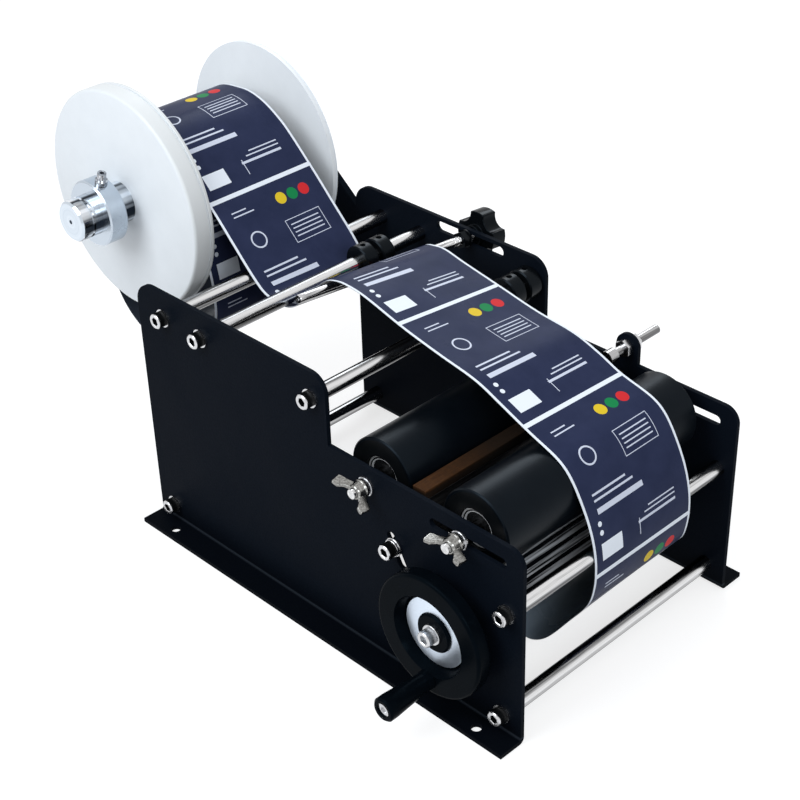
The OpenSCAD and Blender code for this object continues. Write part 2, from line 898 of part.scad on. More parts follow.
// Set collar that keeps a label edge in line, with its grub screw
module edge_collar(x, p) {
    grub_d = 4;
    edge = 0.8;
    r = edge_d / 2;
    bore = rod_d / 2 + run;
    color("#1b1e22") at(x, p) rotate([0, 90, 0]) {
        difference() {
            rotate_extrude() polygon([[bore, 0], [r - edge, 0], [r, edge], [r, edge_w - edge],
                [r - edge, edge_w], [bore, edge_w]]);
            translate([0, 0, edge_w / 2]) rotate([0, -90, 0]) cylinder(d = grub_d, h = edge_d);
        }
        translate([0, 0, edge_w / 2]) rotate([0, -90, 0]) translate([0, 0, bore + 0.2])
            cylinder(d = grub_d - 2 * run, h = 4);
    }
}

edge_pitch = edge_w + edge_gap;
mid_collar_x = right_in - mid_collar_end - edge_w;
tower_collar_x = right_in - tower_collar_end - edge_w;

module edge_collar_1() {
    edge_collar(mid_collar_x - edge_pitch, upper_mid);
}

module edge_collar_2() {
    edge_collar(mid_collar_x, upper_mid);
}

module edge_collar_3() {
    edge_collar(tower_collar_x - edge_pitch, tower_front);
}

module edge_collar_4() {
    edge_collar(tower_collar_x, tower_front);
}

// Peel bar: a rod in the sloped slots, a plate on it and a wooden strip on top
peel_plate_t = 3;
peel_top = peel_at[1] + peel_rise - strip_t;
peel_y = peel_at[0] - 6.7;
peel_x = plate_t + 6;
peel_l = inner_w - 12;

module peel_rod() {
    color("#c9ccd0") along(plate_t + free, peel_at) difference() {
        cylinder(d = rod_d, h = inner_w - 2 * free);
        for (z = [-1, inner_w - 2 * free - tap_depth]) translate([0, 0, z])
            cylinder(d = screw_d, h = tap_depth + 1);
    }
}

module peel_plate() {
    lug = 6;
    color("#2a2c30") difference() {
        union() {
            at(peel_x, [peel_y - peel_plate_t, peel_at[1] - 4])
                cube([peel_l, peel_plate_t, peel_top - peel_at[1] + 4]);
            at(peel_x, [peel_y - strip_w, peel_top - peel_plate_t]) cube([peel_l, strip_w, peel_plate_t]);
            for (x = [peel_x, peel_x + peel_l - lug]) {
                along(x, peel_at) cylinder(d = rod_d + 7, h = lug);
                at(x, [peel_y - peel_plate_t, peel_at[1] - 4]) cube([lug, 6, 8]);
            }
        }
        along(0, peel_at) cylinder(d = rod_d + 2 * seat, h = frame_w);
    }
}

module peel_strip() {
    color("#6b4630") at(peel_x, [peel_y - strip_w, peel_top]) cube([peel_l, strip_w, strip_t]);
}

module peel_screws() {
    color("#2b2d30") both_sides(peel_at) {
        translate([0, 0, free]) washer(washer_d, washer_t - free);
        translate([0, 0, washer_t]) washer(washer_d - 1, spring_t);
        translate([0, 0, washer_t + spring_t]) socket_screw(washer_t + spring_t + plate_t + tap_depth - 3);
    }
}

// Label web. Its route is a list of [from the front edge, height at the left, height at the right],
// taken as offsets from the reel, the rods, the guide rod, the front roller and the nip.
web_off_roll = 0.7;
slack_turn = [[-55, 8], [-61, -22], [-67, -55], [-62, -85], [-40, -107], [-12, -117], [15, -115],
    [37, -101], [50, -76], [54, -38]];
lift_off = [[105, 51.4], [120, 53.6], [135, 56.4], [150, 61]];
over_mid_rod = [[62, 35], [47, 20], [32, 5.2], [21, -3.5, -6.5], [11, -6, -11.5], [0, -6.3, -14.2],
    [-10, -2.5, -11.5], [-19, 6, -3.4]];
over_guide = [[16, 3.5, -5.5], [4, 15.5, 6.8], [-6, 19.3, 9.6], [-15, 20, 10], [-31, 18, 6.5],
    [-63, 9.2, 0.5], [-92, 3, -5], [-121, -2.6, -8.4]];
over_roller = [[33, 41, 37], [15.7, 33.6, 29.8], [0, 27.4, 25.8], [-15.4, 21.6, 21.3], [-27, 4.5]];
in_front = [[-1.6, 18], [-6, -1], [-5.9, -16], [-1.7, -33]];
into_nip = [[-46.6, -6.6, 1], [-28, -31, -20], [-13, -39, -28], [-3.5, -31, -23], [-6, -15, -13],
    [-4.4, -4.8], [0, 0], [8.6, 8.5], [17.6, 16.5], [29.6, 24]];

nip_at = drive_at + (drive_d + nip) / 2 * [cos(press_angle), -sin(press_angle)];
function level(c, p) = [c[0] + p[0], c[1] + p[1], c[1] + (len(p) > 2 ? p[2] : p[1])];
function round_reel(t, r) = reel_at + r * [cos(t), sin(t)];
guide_peak = [guide_in, guide_z];

web_route = concat(
    [for (p = slack_turn) level(reel_at, p)],
    [for (t = [0 : 15 : 90]) level(round_reel(t, roll_d / 2 + web_off_roll), [0, 0])],
    [for (p = lift_off) level(round_reel(p[0], p[1]), [0, 0])],
    [for (p = over_mid_rod) level(upper_mid, p)],
    [for (p = over_guide) level(guide_peak, p)],
    [for (p = over_roller) level(front_axle_at, p)],
    [for (p = in_front) level(front_mid, p)],
    [for (p = into_nip) level(nip_at, p)]);

// Smooth curve through the route's points
web_steps = 3;
function spline(a, b, c, d, t) = 0.5 * (2 * b + (c - a) * t + (2 * a - 5 * b + 4 * c - d) * t * t
    + (3 * b - a - 3 * c + d) * t * t * t);
function pick(list, i) = list[max(0, min(len(list) - 1, i))];
function smooth(list) = concat([for (i = [0 : len(list) - 2]) for (s = [0 : web_steps - 1])
    spline(pick(list, i - 1), list[i], list[i + 1], pick(list, i + 2), s / web_steps)],
    [list[len(list) - 1]]);

// Direction across the web's thickness at station i of one edge
function across(edge, i) = let (d = pick(edge, i + 1) - pick(edge, i - 1)) [-d[1], d[0]] / norm(d);

module label_web() {
    line = smooth(web_route);
    n = len(line);
    left = [for (p = line) [p[0], p[1]]];
    right = [for (p = line) [p[0], p[2]]];
    function row(edge, i, side) = edge[i] + side * web_t / 2 * across(edge, i);
    function point(x, q) = [x - frame_w / 2, q[0] - plate_len / 2, q[1]];
    points = [for (i = [0 : n - 1]) each [
        point(web_x, row(left, i, -1)), point(web_x, row(left, i, 1)),
        point(web_x + web_w, row(right, i, 1)), point(web_x + web_w, row(right, i, -1))]];
    // Both sides of the web fold along the same diagonal, so it keeps its thickness where it twists
    walls = [for (i = [0 : n - 2]) for (k = [0 : 3]) let (a = 4 * i + k, b = 4 * i + (k + 1) % 4)
        each k == 3 ? [[a, a + 4, b + 4], [a, b + 4, b]] : [[a, a + 4, b], [b, a + 4, b + 4]]];
    last = 4 * (n - 1);
    caps = [[0, 1, 2], [0, 2, 3], [last, last + 2, last + 1], [last, last + 3, last + 2]];
    color("#39415e") polyhedron(points, concat(walls, caps));
}

side_plate_left();
side_plate_right();
upper_rear_rod();
upper_mid_rod();
tower_rod();
lower_rear_rod();
front_rod();
lower_front_rod();
frame_screws();
frame_washers();
reel_arm();
arm_screws();
reel_spindle();
spindle_bolt();
rear_axle();
drive_bushings();
press_axle();
press_roller();
stop_nuts();
stop_rod();
label_web();
drive_shaft();
drive_core();
drive_cover();
handwheel();
handwheel_ring();
shaft_end_screws();
crank_pin();
crank_grip();
front_axle();
front_axle_washers();
front_roller_tube();
front_roller_cover();
front_bearings();
rear_roller_tube();
rear_roller_cover();
rear_bearings();
front_wing_nut_left();
front_axle_nut_right();
rear_wing_nut_left();
rear_axle_nut_right();
guide_rod();
guide_rod_nut();
star_knob();
reel_flange_left();
reel_flange_right();
label_roll();
reel_core();
lock_collar();
lock_screw();
edge_collar_1();
edge_collar_2();
edge_collar_3();
edge_collar_4();
peel_rod();
peel_plate();
peel_strip();
peel_screws();
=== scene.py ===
import json
import math

import bmesh
import bpy
from mathutils import Matrix, Vector


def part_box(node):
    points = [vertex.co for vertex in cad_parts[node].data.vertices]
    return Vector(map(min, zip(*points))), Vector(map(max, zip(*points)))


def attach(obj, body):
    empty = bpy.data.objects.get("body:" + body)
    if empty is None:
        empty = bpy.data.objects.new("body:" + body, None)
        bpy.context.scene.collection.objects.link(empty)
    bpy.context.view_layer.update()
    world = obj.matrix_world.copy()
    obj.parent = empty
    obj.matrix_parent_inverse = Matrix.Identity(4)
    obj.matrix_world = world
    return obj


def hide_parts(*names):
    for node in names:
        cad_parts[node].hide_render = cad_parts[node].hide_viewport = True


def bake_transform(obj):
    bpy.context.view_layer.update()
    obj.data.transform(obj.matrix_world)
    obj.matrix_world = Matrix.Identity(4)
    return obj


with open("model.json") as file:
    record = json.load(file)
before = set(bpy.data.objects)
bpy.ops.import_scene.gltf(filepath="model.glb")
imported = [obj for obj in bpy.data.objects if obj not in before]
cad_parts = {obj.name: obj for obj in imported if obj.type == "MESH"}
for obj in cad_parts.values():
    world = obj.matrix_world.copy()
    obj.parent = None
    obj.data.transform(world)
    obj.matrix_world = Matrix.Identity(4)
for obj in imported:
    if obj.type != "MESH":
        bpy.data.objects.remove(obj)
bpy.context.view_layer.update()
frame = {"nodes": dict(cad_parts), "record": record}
BODY_OF = {n: body for body, members in frame["record"]["behaviour"]["bodies"].items() for n in members}
SLOT_OF = {part["node"]: part["material_slot"] for part in frame["record"]["subparts"]}
MM = 0.001

# ---------------------------------------------------------------- places of the machine, in mm
# from the left plate's outer face, the front edge of the plates and the underside of the feet
FRAME_W = 192.8
PLATE_LEN = 326.0
REEL = (403.0, 190.5)
MID_ROD = (263.0, 162.4)
GUIDE = (219.3, 173.4)
GUIDE_LEAN = math.radians(5.7)
FRONT_AXLE = (45.7, 122.1)
REAR_AXLE = (119.5, 122.1)
FRONT_ROD = (11.0, 89.5)
DRIVE = (54.3, 58.7)
FLUTE_TIP = 20.0
NIP_ANGLE = math.radians(45.5)
NIP_REACH = 20.5
NIP = (DRIVE[0] + NIP_REACH * math.cos(NIP_ANGLE), DRIVE[1] - NIP_REACH * math.sin(NIP_ANGLE))
ROD_PLACES = [(299.4, 162.4), MID_ROD, (163.7, 162.4), (310.3, 14.4), FRONT_ROD, (14.0, 15.0)]
PEEL = (97.9, 89.7)
WEB_X = 67.2
WEB_W = 88.0
WEB_T = 0.35
ROLL_D = 97.0


def place(x, y, z):
    """A point of the machine, in metres in the model's own frame."""
    return Vector(((x - FRAME_W / 2) * MM, (y - PLATE_LEN / 2) * MM, z * MM))


# ---------------------------------------------------------------- camera, light and floor
WORLD_ON_SURFACES = 0.52
FLOOR_LIFT = 0.72
FLOOR_HALF = 6.0
FLOOR_DROP = 0.0002
LAMP_COLOUR = (0.9, 0.955, 1.0)


def set_camera():
    """The camera that was fitted to the photo."""
    data = bpy.data.cameras.new("photo_camera")
    data.sensor_fit = "HORIZONTAL"
    data.sensor_width = 36.0
    data.lens = 76.793
    data.clip_start = 0.05
    right = Vector((0.70942623, -0.70430767, -0.02586697))
    down = Vector((-0.39545391, -0.36740649, -0.84180474))
    ahead = Vector((0.58338877, 0.6074237, -0.53915968))
    turn = Matrix((right, -down, -ahead)).transposed().to_4x4()
    camera = bpy.data.objects.new("photo_camera", data)
    camera.matrix_world = Matrix.Translation((-0.632034, -0.630773, 0.687910)) @ turn
    bpy.context.scene.collection.objects.link(camera)
    bpy.context.scene.camera = camera


def soft_lamp(name, at, aim, size, watts):
    data = bpy.data.lights.new(name, "AREA")
    data.shape = "RECTANGLE"
    data.size, data.size_y = size
    data.energy = watts
    data.color = LAMP_COLOUR
    lamp = bpy.data.objects.new(name, data)
    lamp.location = at
    lamp.rotation_euler = (Vector(aim) - Vector(at)).to_track_quat("-Z", "Y").to_euler()
    bpy.context.scene.collection.objects.link(lamp)


def node(tree, kind, inputs=None, **settings):
    """A new node. An input given as a socket is linked, any other value is set on it."""
    made = tree.nodes.new(kind)
    for name, value in settings.items():
        setattr(made, name, value)
    for name, value in (inputs or {}).items():
        if isinstance(value, bpy.types.NodeSocket):
            tree.links.new(value, made.inputs[name])
        else:
            made.inputs[name].default_value = value
    return made


def calc(tree, operation, *values):
    return node(tree, "ShaderNodeMath", dict(enumerate(values)), operation=operation).outputs[0]


def vector(tree, operation, *values, result=0):
    return node(tree, "ShaderNodeVectorMath", dict(enumerate(values)), operation=operation).outputs[result]


def split(tree, spot):
    """The X, Y and Z of a spot."""
    return node(tree, "ShaderNodeSeparateXYZ", {0: spot}).outputs


def ramp(tree, value, start, end, top=1.0):
    """0 at start, rising evenly to top at end."""
    limits = {"Value": value, "From Min": start, "From Max": end, "To Max": top}
    return node(tree, "ShaderNodeMapRange", limits).outputs[0]


def seen_directly(tree):
    """1 for camera, glossy and transmission rays, so that metal shows the same white as the camera."""
    rays = node(tree, "ShaderNodeLightPath").outputs
    either = calc(tree, "MAXIMUM", rays["Is Camera Ray"], rays["Is Glossy Ray"])
    return calc(tree, "MAXIMUM", either, rays["Is Transmission Ray"])


def set_world():
    world = bpy.data.worlds.new("white_studio")
    bpy.context.scene.world = world
    world.use_nodes = True
    tree = world.node_tree
    tree.nodes.clear()
    strength = node(tree, "ShaderNodeMapRange", {"Value": seen_directly(tree), "To Min": WORLD_ON_SURFACES, "To Max": 1.0})
    back = node(tree, "ShaderNodeBackground", {"Color": (1, 1, 1, 1), "Strength": strength.outputs[0]})
    out = node(tree, "ShaderNodeOutputWorld")
    tree.links.new(back.outputs[0], out.inputs["Surface"])


def set_floor():
    material = bpy.data.materials.new("studio_floor")
    material.use_nodes = True
    tree = material.node_tree
    tree.nodes.clear()
    paper = node(tree, "ShaderNodeBsdfDiffuse", {"Color": (0.42, 0.42, 0.425, 1)})
    lift = calc(tree, "MULTIPLY", seen_directly(tree), FLOOR_LIFT)
    glow = node(tree, "ShaderNodeEmission", {"Color": (1, 1, 1, 1), "Strength": lift})
    both = node(tree, "ShaderNodeAddShader", {0: paper.outputs[0], 1: glow.outputs[0]})
    out = node(tree, "ShaderNodeOutputMaterial")
    tree.links.new(both.outputs[0], out.inputs["Surface"])
    corners = [(x * FLOOR_HALF, y * FLOOR_HALF, 0) for x, y in ((-1, -1), (1, -1), (1, 1), (-1, 1))]
    mesh = bpy.data.meshes.new("studio_floor")
    mesh.from_pydata(corners, [], [(0, 1, 2, 3)])
    mesh.materials.append(material)
    floor = bpy.data.objects.new("studio_floor", mesh)
    floor.location.z = -FLOOR_DROP
    bpy.context.scene.collection.objects.link(floor)


set_camera()
bpy.context.scene.view_settings.view_transform = "Standard"
set_world()
set_floor()
soft_lamp("key_panel", (-0.85, 0.2, 1.0), (0, 0, 0.12), (0.8, 0.8), 9)
soft_lamp("front_panel", (-0.5, -1.25, 0.95), (0, 0, 0.1), (0.9, 0.5), 8)
soft_lamp("right_panel", (0.9, 0.75, 1.0), (0, 0, 0.12), (0.7, 0.5), 5)


# ---------------------------------------------------------------- shared effects of the finishes
FLOAT, VECTOR = "NodeSocketFloat", "NodeSocketVector"


def effect(name, inputs, output, build):
    """A shader node group with one value as its output. Inputs are (name, type, default)."""
    tree = bpy.data.node_groups.new(name, "ShaderNodeTree")
    for label, kind, default in inputs:
        tree.interface.new_socket(label, in_out="INPUT", socket_type=kind).default_value = default
    tree.interface.new_socket(output, in_out="OUTPUT", socket_type=FLOAT)
    entry, leave = node(tree, "NodeGroupInput"), node(tree, "NodeGroupOutput")
    tree.links.new(build(tree, entry.outputs), leave.inputs[output])
    return tree


def use(tree, group, **inputs):
    return node(tree, "ShaderNodeGroup", inputs, node_tree=group).outputs[0]


def line_noise(tree, along, detail):
    """Noise that changes along one measure only."""
    settings = {"W": along, "Scale": 1.0, "Detail": detail}
    return node(tree, "ShaderNodeTexNoise", settings, noise_dimensions="1D").outputs[0]


def build_grain(tree, given):
    fine = node(tree, "ShaderNodeTexNoise", {
        "Vector": given["Place"], "Scale": given["Scale"], "Detail": 3.0, "Roughness": 0.6})
    return ramp(tree, fine.outputs[0], 0.3, 0.7)


def build_handling(tree, given):
    wide = node(tree, "ShaderNodeTexNoise", {
        "Vector": given["Place"], "Scale": given["Scale"], "Detail": 5.0, "Roughness": 0.55, "Distortion": 0.6})
    return node(tree, "ShaderNodeMapRange", {
        "Value": wide.outputs[0], "From Min": 0.35, "From Max": 0.7,
        "To Min": given["Low"], "To Max": given["High"]}).outputs[0]


def build_streaks(tree, given):
    """Fine lines along the machine's width, as on a ground or drawn rod."""
    lines = vector(tree, "MULTIPLY", given["Place"], (0.024, 1.0, 1.0))
    noise = node(tree, "ShaderNodeTexNoise", {
        "Vector": lines, "Scale": given["Scale"], "Detail": 2.0, "Roughness": 0.5})
    return ramp(tree, noise.outputs[0], 0.3, 0.7)


def build_rings(tree, given):
    """Tool marks of a lathe: they change along the machine's width only."""
    return line_noise(tree, calc(tree, "MULTIPLY", split(tree, given["Place"])["X"], given["Scale"]), 2.0)


def build_bar(tree, given):
    """Mask of one printed bar, from the label's own coordinates in mm."""
    def inside(value, middle, size):
        away = calc(tree, "ABSOLUTE", calc(tree, "SUBTRACT", value, middle))
        return calc(tree, "LESS_THAN", away, calc(tree, "MULTIPLY", size, 0.5))

    part = split(tree, given["Spot"])
    in_width = inside(part["X"], given["Across"], given["Width"])
    in_height = inside(part["Y"], given["Along"], given["Height"])
    return calc(tree, "MULTIPLY", in_width, in_height)


def build_dot(tree, given):
    """Mask of one printed dot, or of a ring where the hole is above zero."""
    middle = node(tree, "ShaderNodeCombineXYZ", {"X": given["Across"], "Y": given["Along"]}).outputs[0]
    reach = vector(tree, "DISTANCE", given["Spot"], middle, result="Value")
    inside = calc(tree, "LESS_THAN", reach, calc(tree, "MULTIPLY", given["Diameter"], 0.5))
    beyond = calc(tree, "GREATER_THAN", reach, calc(tree, "MULTIPLY", given["Hole"], 0.5))
    return calc(tree, "MULTIPLY", inside, beyond)


PLACE = ("Place", VECTOR, (0.0, 0.0, 0.0))
GRAIN = effect("surface_grain", [PLACE, ("Scale", FLOAT, 1000.0)], "Grain", build_grain)
HANDLING = effect("handling_marks", [
    PLACE, ("Scale", FLOAT, 25.0), ("Low", FLOAT, 0.3), ("High", FLOAT, 0.4)], "Roughness", build_handling)
STREAKS = effect("drawn_streaks", [PLACE, ("Scale", FLOAT, 3000.0)], "Streak", build_streaks)
RINGS = effect("lathe_rings", [PLACE, ("Scale", FLOAT, 3000.0)], "Ring", build_rings)
SPOT = [("Spot", VECTOR, (0.0, 0.0, 0.0)), ("Across", FLOAT, 0.0), ("Along", FLOAT, 0.0)]
BAR = effect("printed_bar", SPOT + [("Width", FLOAT, 1.0), ("Height", FLOAT, 1.0)], "Mask", build_bar)
DOT = effect("printed_dot", SPOT + [("Diameter", FLOAT, 1.0), ("Hole", FLOAT, 0.0)], "Mask", build_dot)


# ---------------------------------------------------------------- finishes
def start_finish(name, **sockets):
    """A material with its Principled shader, whose plain sockets are set here."""
    material = bpy.data.materials.new(name)
    material.use_nodes = True
    tree = material.node_tree
    shader = tree.nodes["Principled BSDF"]
    for socket, value in sockets.items():
        shader.inputs[socket.replace("_", " ")].default_value = value
    return material, tree, shader, node(tree, "ShaderNodeTexCoord").outputs["Object"]


def blend_colour(tree, factor, a, b):
    return node(tree, "ShaderNodeMix", {0: factor, 6: a, 7: b}, data_type="RGBA").outputs[2]


def axis_distance(tree, spot, axis):
    """Distance of a spot from a line along the machine's width, given as (from the front, height)."""
    away = vector(tree, "SUBTRACT", spot, place(0, *axis))
    return vector(tree, "LENGTH", vector(tree, "MULTIPLY", away, (0, 1, 1)), result="Value")


def between(tree, value, low, high):
    return calc(tree, "MULTIPLY", calc(tree, "GREATER_THAN", value, low), calc(tree, "LESS_THAN", value, high))


def paint(tree, shader, colour, spot, scale, low, high):
    """Links a colour to the shader, and handling marks of the given scale to its roughness."""
    tree.links.new(colour, shader.inputs["Base Color"])
    tree.links.new(use(tree, HANDLING, Place=spot, Scale=scale, Low=low, High=high), shader.inputs["Roughness"])


def bump(tree, shader, height, strength, distance):
    made = node(tree, "ShaderNodeBump", {"Height": height, "Strength": strength, "Distance": distance})
    tree.links.new(made.outputs[0], shader.inputs["Normal"])


def powder_coat(name, dark, light, level, bend=None):
    """Speckled coat. Bend is (from, to, colour) of a painted highlight line above a bent foot, in metres of height;
    with it the coat is darkened towards the foot as painted shade.
    """
    material, tree, shader, spot = start_finish(name, Specular_IOR_Level=level)
    colour = blend_colour(tree, use(tree, GRAIN, Place=spot, Scale=1500.0), dark, light)
    if bend:
        start, end, highlight_colour = bend
        middle = (start + end) / 2
        height = split(tree, spot)["Z"]
        # painted shade: the coat darkens over the last 20 mm above the foot
        shaded = ramp(tree, height, start + 0.02, start, 0.55)
        colour = blend_colour(tree, shaded, colour, (0.0008, 0.001, 0.0014, 1))
        # painted highlight: a lighter line along the bend of the foot
        line = calc(tree, "MULTIPLY", ramp(tree, height, start, middle), ramp(tree, height, end, middle))
        colour = blend_colour(tree, line, colour, highlight_colour)
    paint(tree, shader, colour, spot, 14.0, 0.4, 0.52)
    bump(tree, shader, use(tree, GRAIN, Place=spot, Scale=620.0), 0.12, 0.0004)
    return material


def bright_metal(name, dull, bright, low, high, lines, scale, depth=0.05, bands=0.0):
    """Bare metal with fine tool marks. The last argument is the share of broad dark and light bands painted along it as
    reflections.
    """
    material, tree, shader, spot = start_finish(name, Metallic=1.0)
    mark = use(tree, lines, Place=spot, Scale=scale)
    if bands:
        # painted reflection: broad dark and light bands along the metal
        broad = ramp(tree, use(tree, lines, Place=spot, Scale=scale * 0.16), 0.36, 0.6)
        mark = calc(tree, "ADD", calc(tree, "MULTIPLY", mark, 1 - bands), calc(tree, "MULTIPLY", broad, bands))
    paint(tree, shader, blend_colour(tree, mark, dull, bright), spot, 40.0, low, high)
    bump(tree, shader, mark, depth, 0.0002)
    return material


def moulded(name, dark, light, low, high, level, grain=900.0, depth=0.06, tint=(1, 1, 1, 1)):
    material, tree, shader, spot = start_finish(name, Specular_IOR_Level=level, Specular_Tint=tint)
    cloud = use(tree, GRAIN, Place=spot, Scale=60.0)
    paint(tree, shader, blend_colour(tree, cloud, dark, light), spot, 22.0, low, high)
    bump(tree, shader, use(tree, GRAIN, Place=spot, Scale=grain), depth, 0.0003)
    return material


def fluted_rubber(name):
    """Black feed roller with painted highlights streaked along its flute tips."""
    material, tree, shader, spot = start_finish(name, Specular_IOR_Level=0.12)
    # painted highlight: the flute tips are coloured bright in streaks
    tip = ramp(tree, axis_distance(tree, spot, DRIVE), (FLUTE_TIP - 0.3) * MM, (FLUTE_TIP - 0.1) * MM)
    glint_streaks = ramp(tree, use(tree, STREAKS, Place=spot, Scale=900.0), 0.15, 0.75)
    painted_glint = calc(tree, "MULTIPLY", tip, glint_streaks)
    colour = blend_colour(tree, painted_glint, (0.0032, 0.004, 0.0055, 1), (0.6, 0.62, 0.65, 1))
    paint(tree, shader, colour, spot, 30.0, 0.14, 0.22)
    bump(tree, shader, use(tree, GRAIN, Place=spot, Scale=1500.0), 0.03, 0.0003)
    return material


def chromed_rod(name, axis, reflection_dark_at):
    """Ground and chromed tie rod with painted reflections: dark and light bands along it, darkest at the given angle in
    degrees and opposite, and painted shade greying its underside.
    """
    material, tree, shader, spot = start_finish(name, Metallic=1.0)
    part = split(tree, vector(tree, "SUBTRACT", spot, place(0, *axis)))
    turn = calc(tree, "SUBTRACT", calc(tree, "ARCTAN2", part["Z"], part["Y"]), math.radians(reflection_dark_at))
    # painted reflection: dark and light bands round the rod, fixed to it
    broad = calc(tree, "COSINE", calc(tree, "MULTIPLY", turn, 2.0))
    fine = calc(tree, "COSINE", calc(tree, "ADD", calc(tree, "MULTIPLY", turn, 8.0), 2.6))
    reflection_band = calc(tree, "SUBTRACT", calc(tree, "MULTIPLY", fine, 0.42), broad)
    streak = use(tree, STREAKS, Place=spot, Scale=2600.0)
    reflection_band = calc(tree, "ADD", reflection_band, calc(tree, "MULTIPLY", calc(tree, "SUBTRACT", streak, 0.5), 0.5))
    chrome = blend_colour(tree, ramp(tree, reflection_band, -0.75, 0.9), (0.012, 0.0125, 0.014, 1), (0.72, 0.72, 0.725, 1))
    # painted shade: the underside of the rod is greyed
    under = ramp(tree, part["Z"], 0.0014, -0.0016, 0.85)
    paint(tree, shader, blend_colour(tree, under, chrome, (0.17, 0.17, 0.172, 1)), spot, 40.0, 0.14, 0.22)
    bump(tree, shader, streak, 0.03, 0.0002)
    return material


def shielded_bearing(name, axle):
    """Ball bearing seen from its end: two bright races round a dark shield."""
    material, tree, shader, spot = start_finish(name, Metallic=0.3)
    radius = axis_distance(tree, spot, axle)
    races = calc(tree, "MAXIMUM", between(tree, radius, 0.0114, 0.0125), between(tree, radius, 0.0096, 0.0104))
    mark = use(tree, GRAIN, Place=spot, Scale=900.0)
    bright = blend_colour(tree, mark, (0.6, 0.61, 0.62, 1), (0.9, 0.9, 0.91, 1))
    paint(tree, shader, blend_colour(tree, races, (0.01, 0.0105, 0.0115, 1), bright), spot, 90.0, 0.14, 0.24)
    bump(tree, shader, mark, 0.03, 0.0002)
    return material


def axle_steel(name):
    """Steel axle, painted dark as shade between the plates; its ends outside the plates show bare steel."""
    material, tree, shader, spot = start_finish(name, Metallic=1.0)
    mark = use(tree, STREAKS, Place=spot, Scale=2600.0)
    # painted shade: the axle is darkened inside the plates
    painted_shade_inside = blend_colour(tree, mark, (0.012, 0.012, 0.013, 1), (0.05, 0.05, 0.052, 1))
    bare_grain = use(tree, GRAIN, Place=spot, Scale=1200.0)
    bare = blend_colour(tree, bare_grain, (0.5, 0.5, 0.5, 1), (0.82, 0.82, 0.82, 1))
    outside = calc(tree, "GREATER_THAN", calc(tree, "ABSOLUTE", split(tree, spot)["X"]), FRAME_W / 2 * MM)
    paint(tree, shader, blend_colour(tree, outside, painted_shade_inside, bare), spot, 40.0, 0.18, 0.28)
    bump(tree, shader, mark, 0.04, 0.0002)
    return material


def spindle_mirror(name):
    """Chromed bar with broad dark and bright bands painted along it as reflections, and a paler faced end."""
    material, tree, shader, spot = start_finish(name, Metallic=1.0)
    # painted reflection: broad dark and bright bands along the bar
    reflection_band = ramp(tree, use(tree, STREAKS, Place=spot, Scale=105.0), 0.3, 0.62)
    bar = blend_colour(tree, reflection_band, (0.02, 0.026, 0.036, 1), (0.84, 0.88, 0.93, 1))
    ring = line_noise(tree, calc(tree, "MULTIPLY", axis_distance(tree, spot, REEL), 420.0), 2.0)
    faced = blend_colour(tree, ring, (0.5, 0.57, 0.65, 1), (0.78, 0.84, 0.9, 1))
    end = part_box("reel_spindle")[0][0] + 0.0012
    at_end = calc(tree, "LESS_THAN", split(tree, spot)["X"], end)
    paint(tree, shader, blend_colour(tree, at_end, bar, faced), spot, 40.0, 0.06, 0.13)
    bump(tree, shader, ring, 0.03, 0.0002)
    return material


def reel_plastic(name):
    """White moulded flange whose outer edge is painted greyer as shade."""
    material = moulded(name, (0.83, 0.865, 0.9, 1), (0.86, 0.895, 0.93, 1), 0.36, 0.46, 0.3, 700.0, 0.03)
    tree = material.node_tree
    colour = tree.nodes["Principled BSDF"].inputs["Base Color"]
    spot = node(tree, "ShaderNodeTexCoord").outputs["Object"]
    # painted shade: the flange's outer edge is greyed
    painted_rim_shade = ramp(tree, axis_distance(tree, spot, REEL), 0.0752, 0.0768)
    clean = colour.links[0].from_socket
    tree.links.new(blend_colour(tree, painted_rim_shade, clean, (0.73, 0.75, 0.76, 1)), colour)
    return material


def brown_strip(name):
    """Fibrous brown strip, with painted shade darkening it away from its left end and under its top."""
    material, tree, shader, spot = start_finish(name, Specular_IOR_Level=0.03)
    part = split(tree, spot)
    fibre = use(tree, STREAKS, Place=spot, Scale=2600.0)
    fleck = calc(tree, "MULTIPLY", use(tree, GRAIN, Place=spot, Scale=420.0), 0.6)
    base = blend_colour(tree, fibre, (0.032, 0.012, 0.0045, 1), (0.096, 0.041, 0.015, 1))
    base = blend_colour(tree, fleck, base, (0.022, 0.012, 0.008, 1))
    # painted shade: darker away from the strip's left end
    base = blend_colour(tree, ramp(tree, part["X"], -0.078, -0.028, 0.88), base, (0.012, 0.009, 0.007, 1))
    # painted shade: darker from just under the strip's top downwards
    top = max(v.co.z for v in frame["nodes"]["peel_strip"].data.vertices)
    painted_shade_below = ramp(tree, part["Z"], top - 0.0006, top - 0.0022, 0.8)
    paint(tree, shader, blend_colour(tree, painted_shade_below, base, (0.01, 0.009, 0.008, 1)), spot, 60.0, 0.45, 0.65)
    bump(tree, shader, fibre, 0.25, 0.0003)
    return material


LABEL_PITCH = 103.0
LABEL_GAP = 3.0
FIRST_GAP = 475.0
MARGIN = 1.7
NAVY_DARK = (0.021, 0.0275, 0.064, 1)
NAVY_LIGHT = (0.028, 0.0355, 0.08, 1)
LINER_WHITE = (0.82, 0.87, 0.95, 1)
INK_PALE = (0.62, 0.66, 0.78, 1)
INK_WHITE = (0.8, 0.85, 0.94, 1)
INK_YELLOW, INK_GREEN, INK_RED = (0.72, 0.52, 0.03, 1), (0.012, 0.22, 0.07, 1), (0.62, 0.03, 0.035, 1)
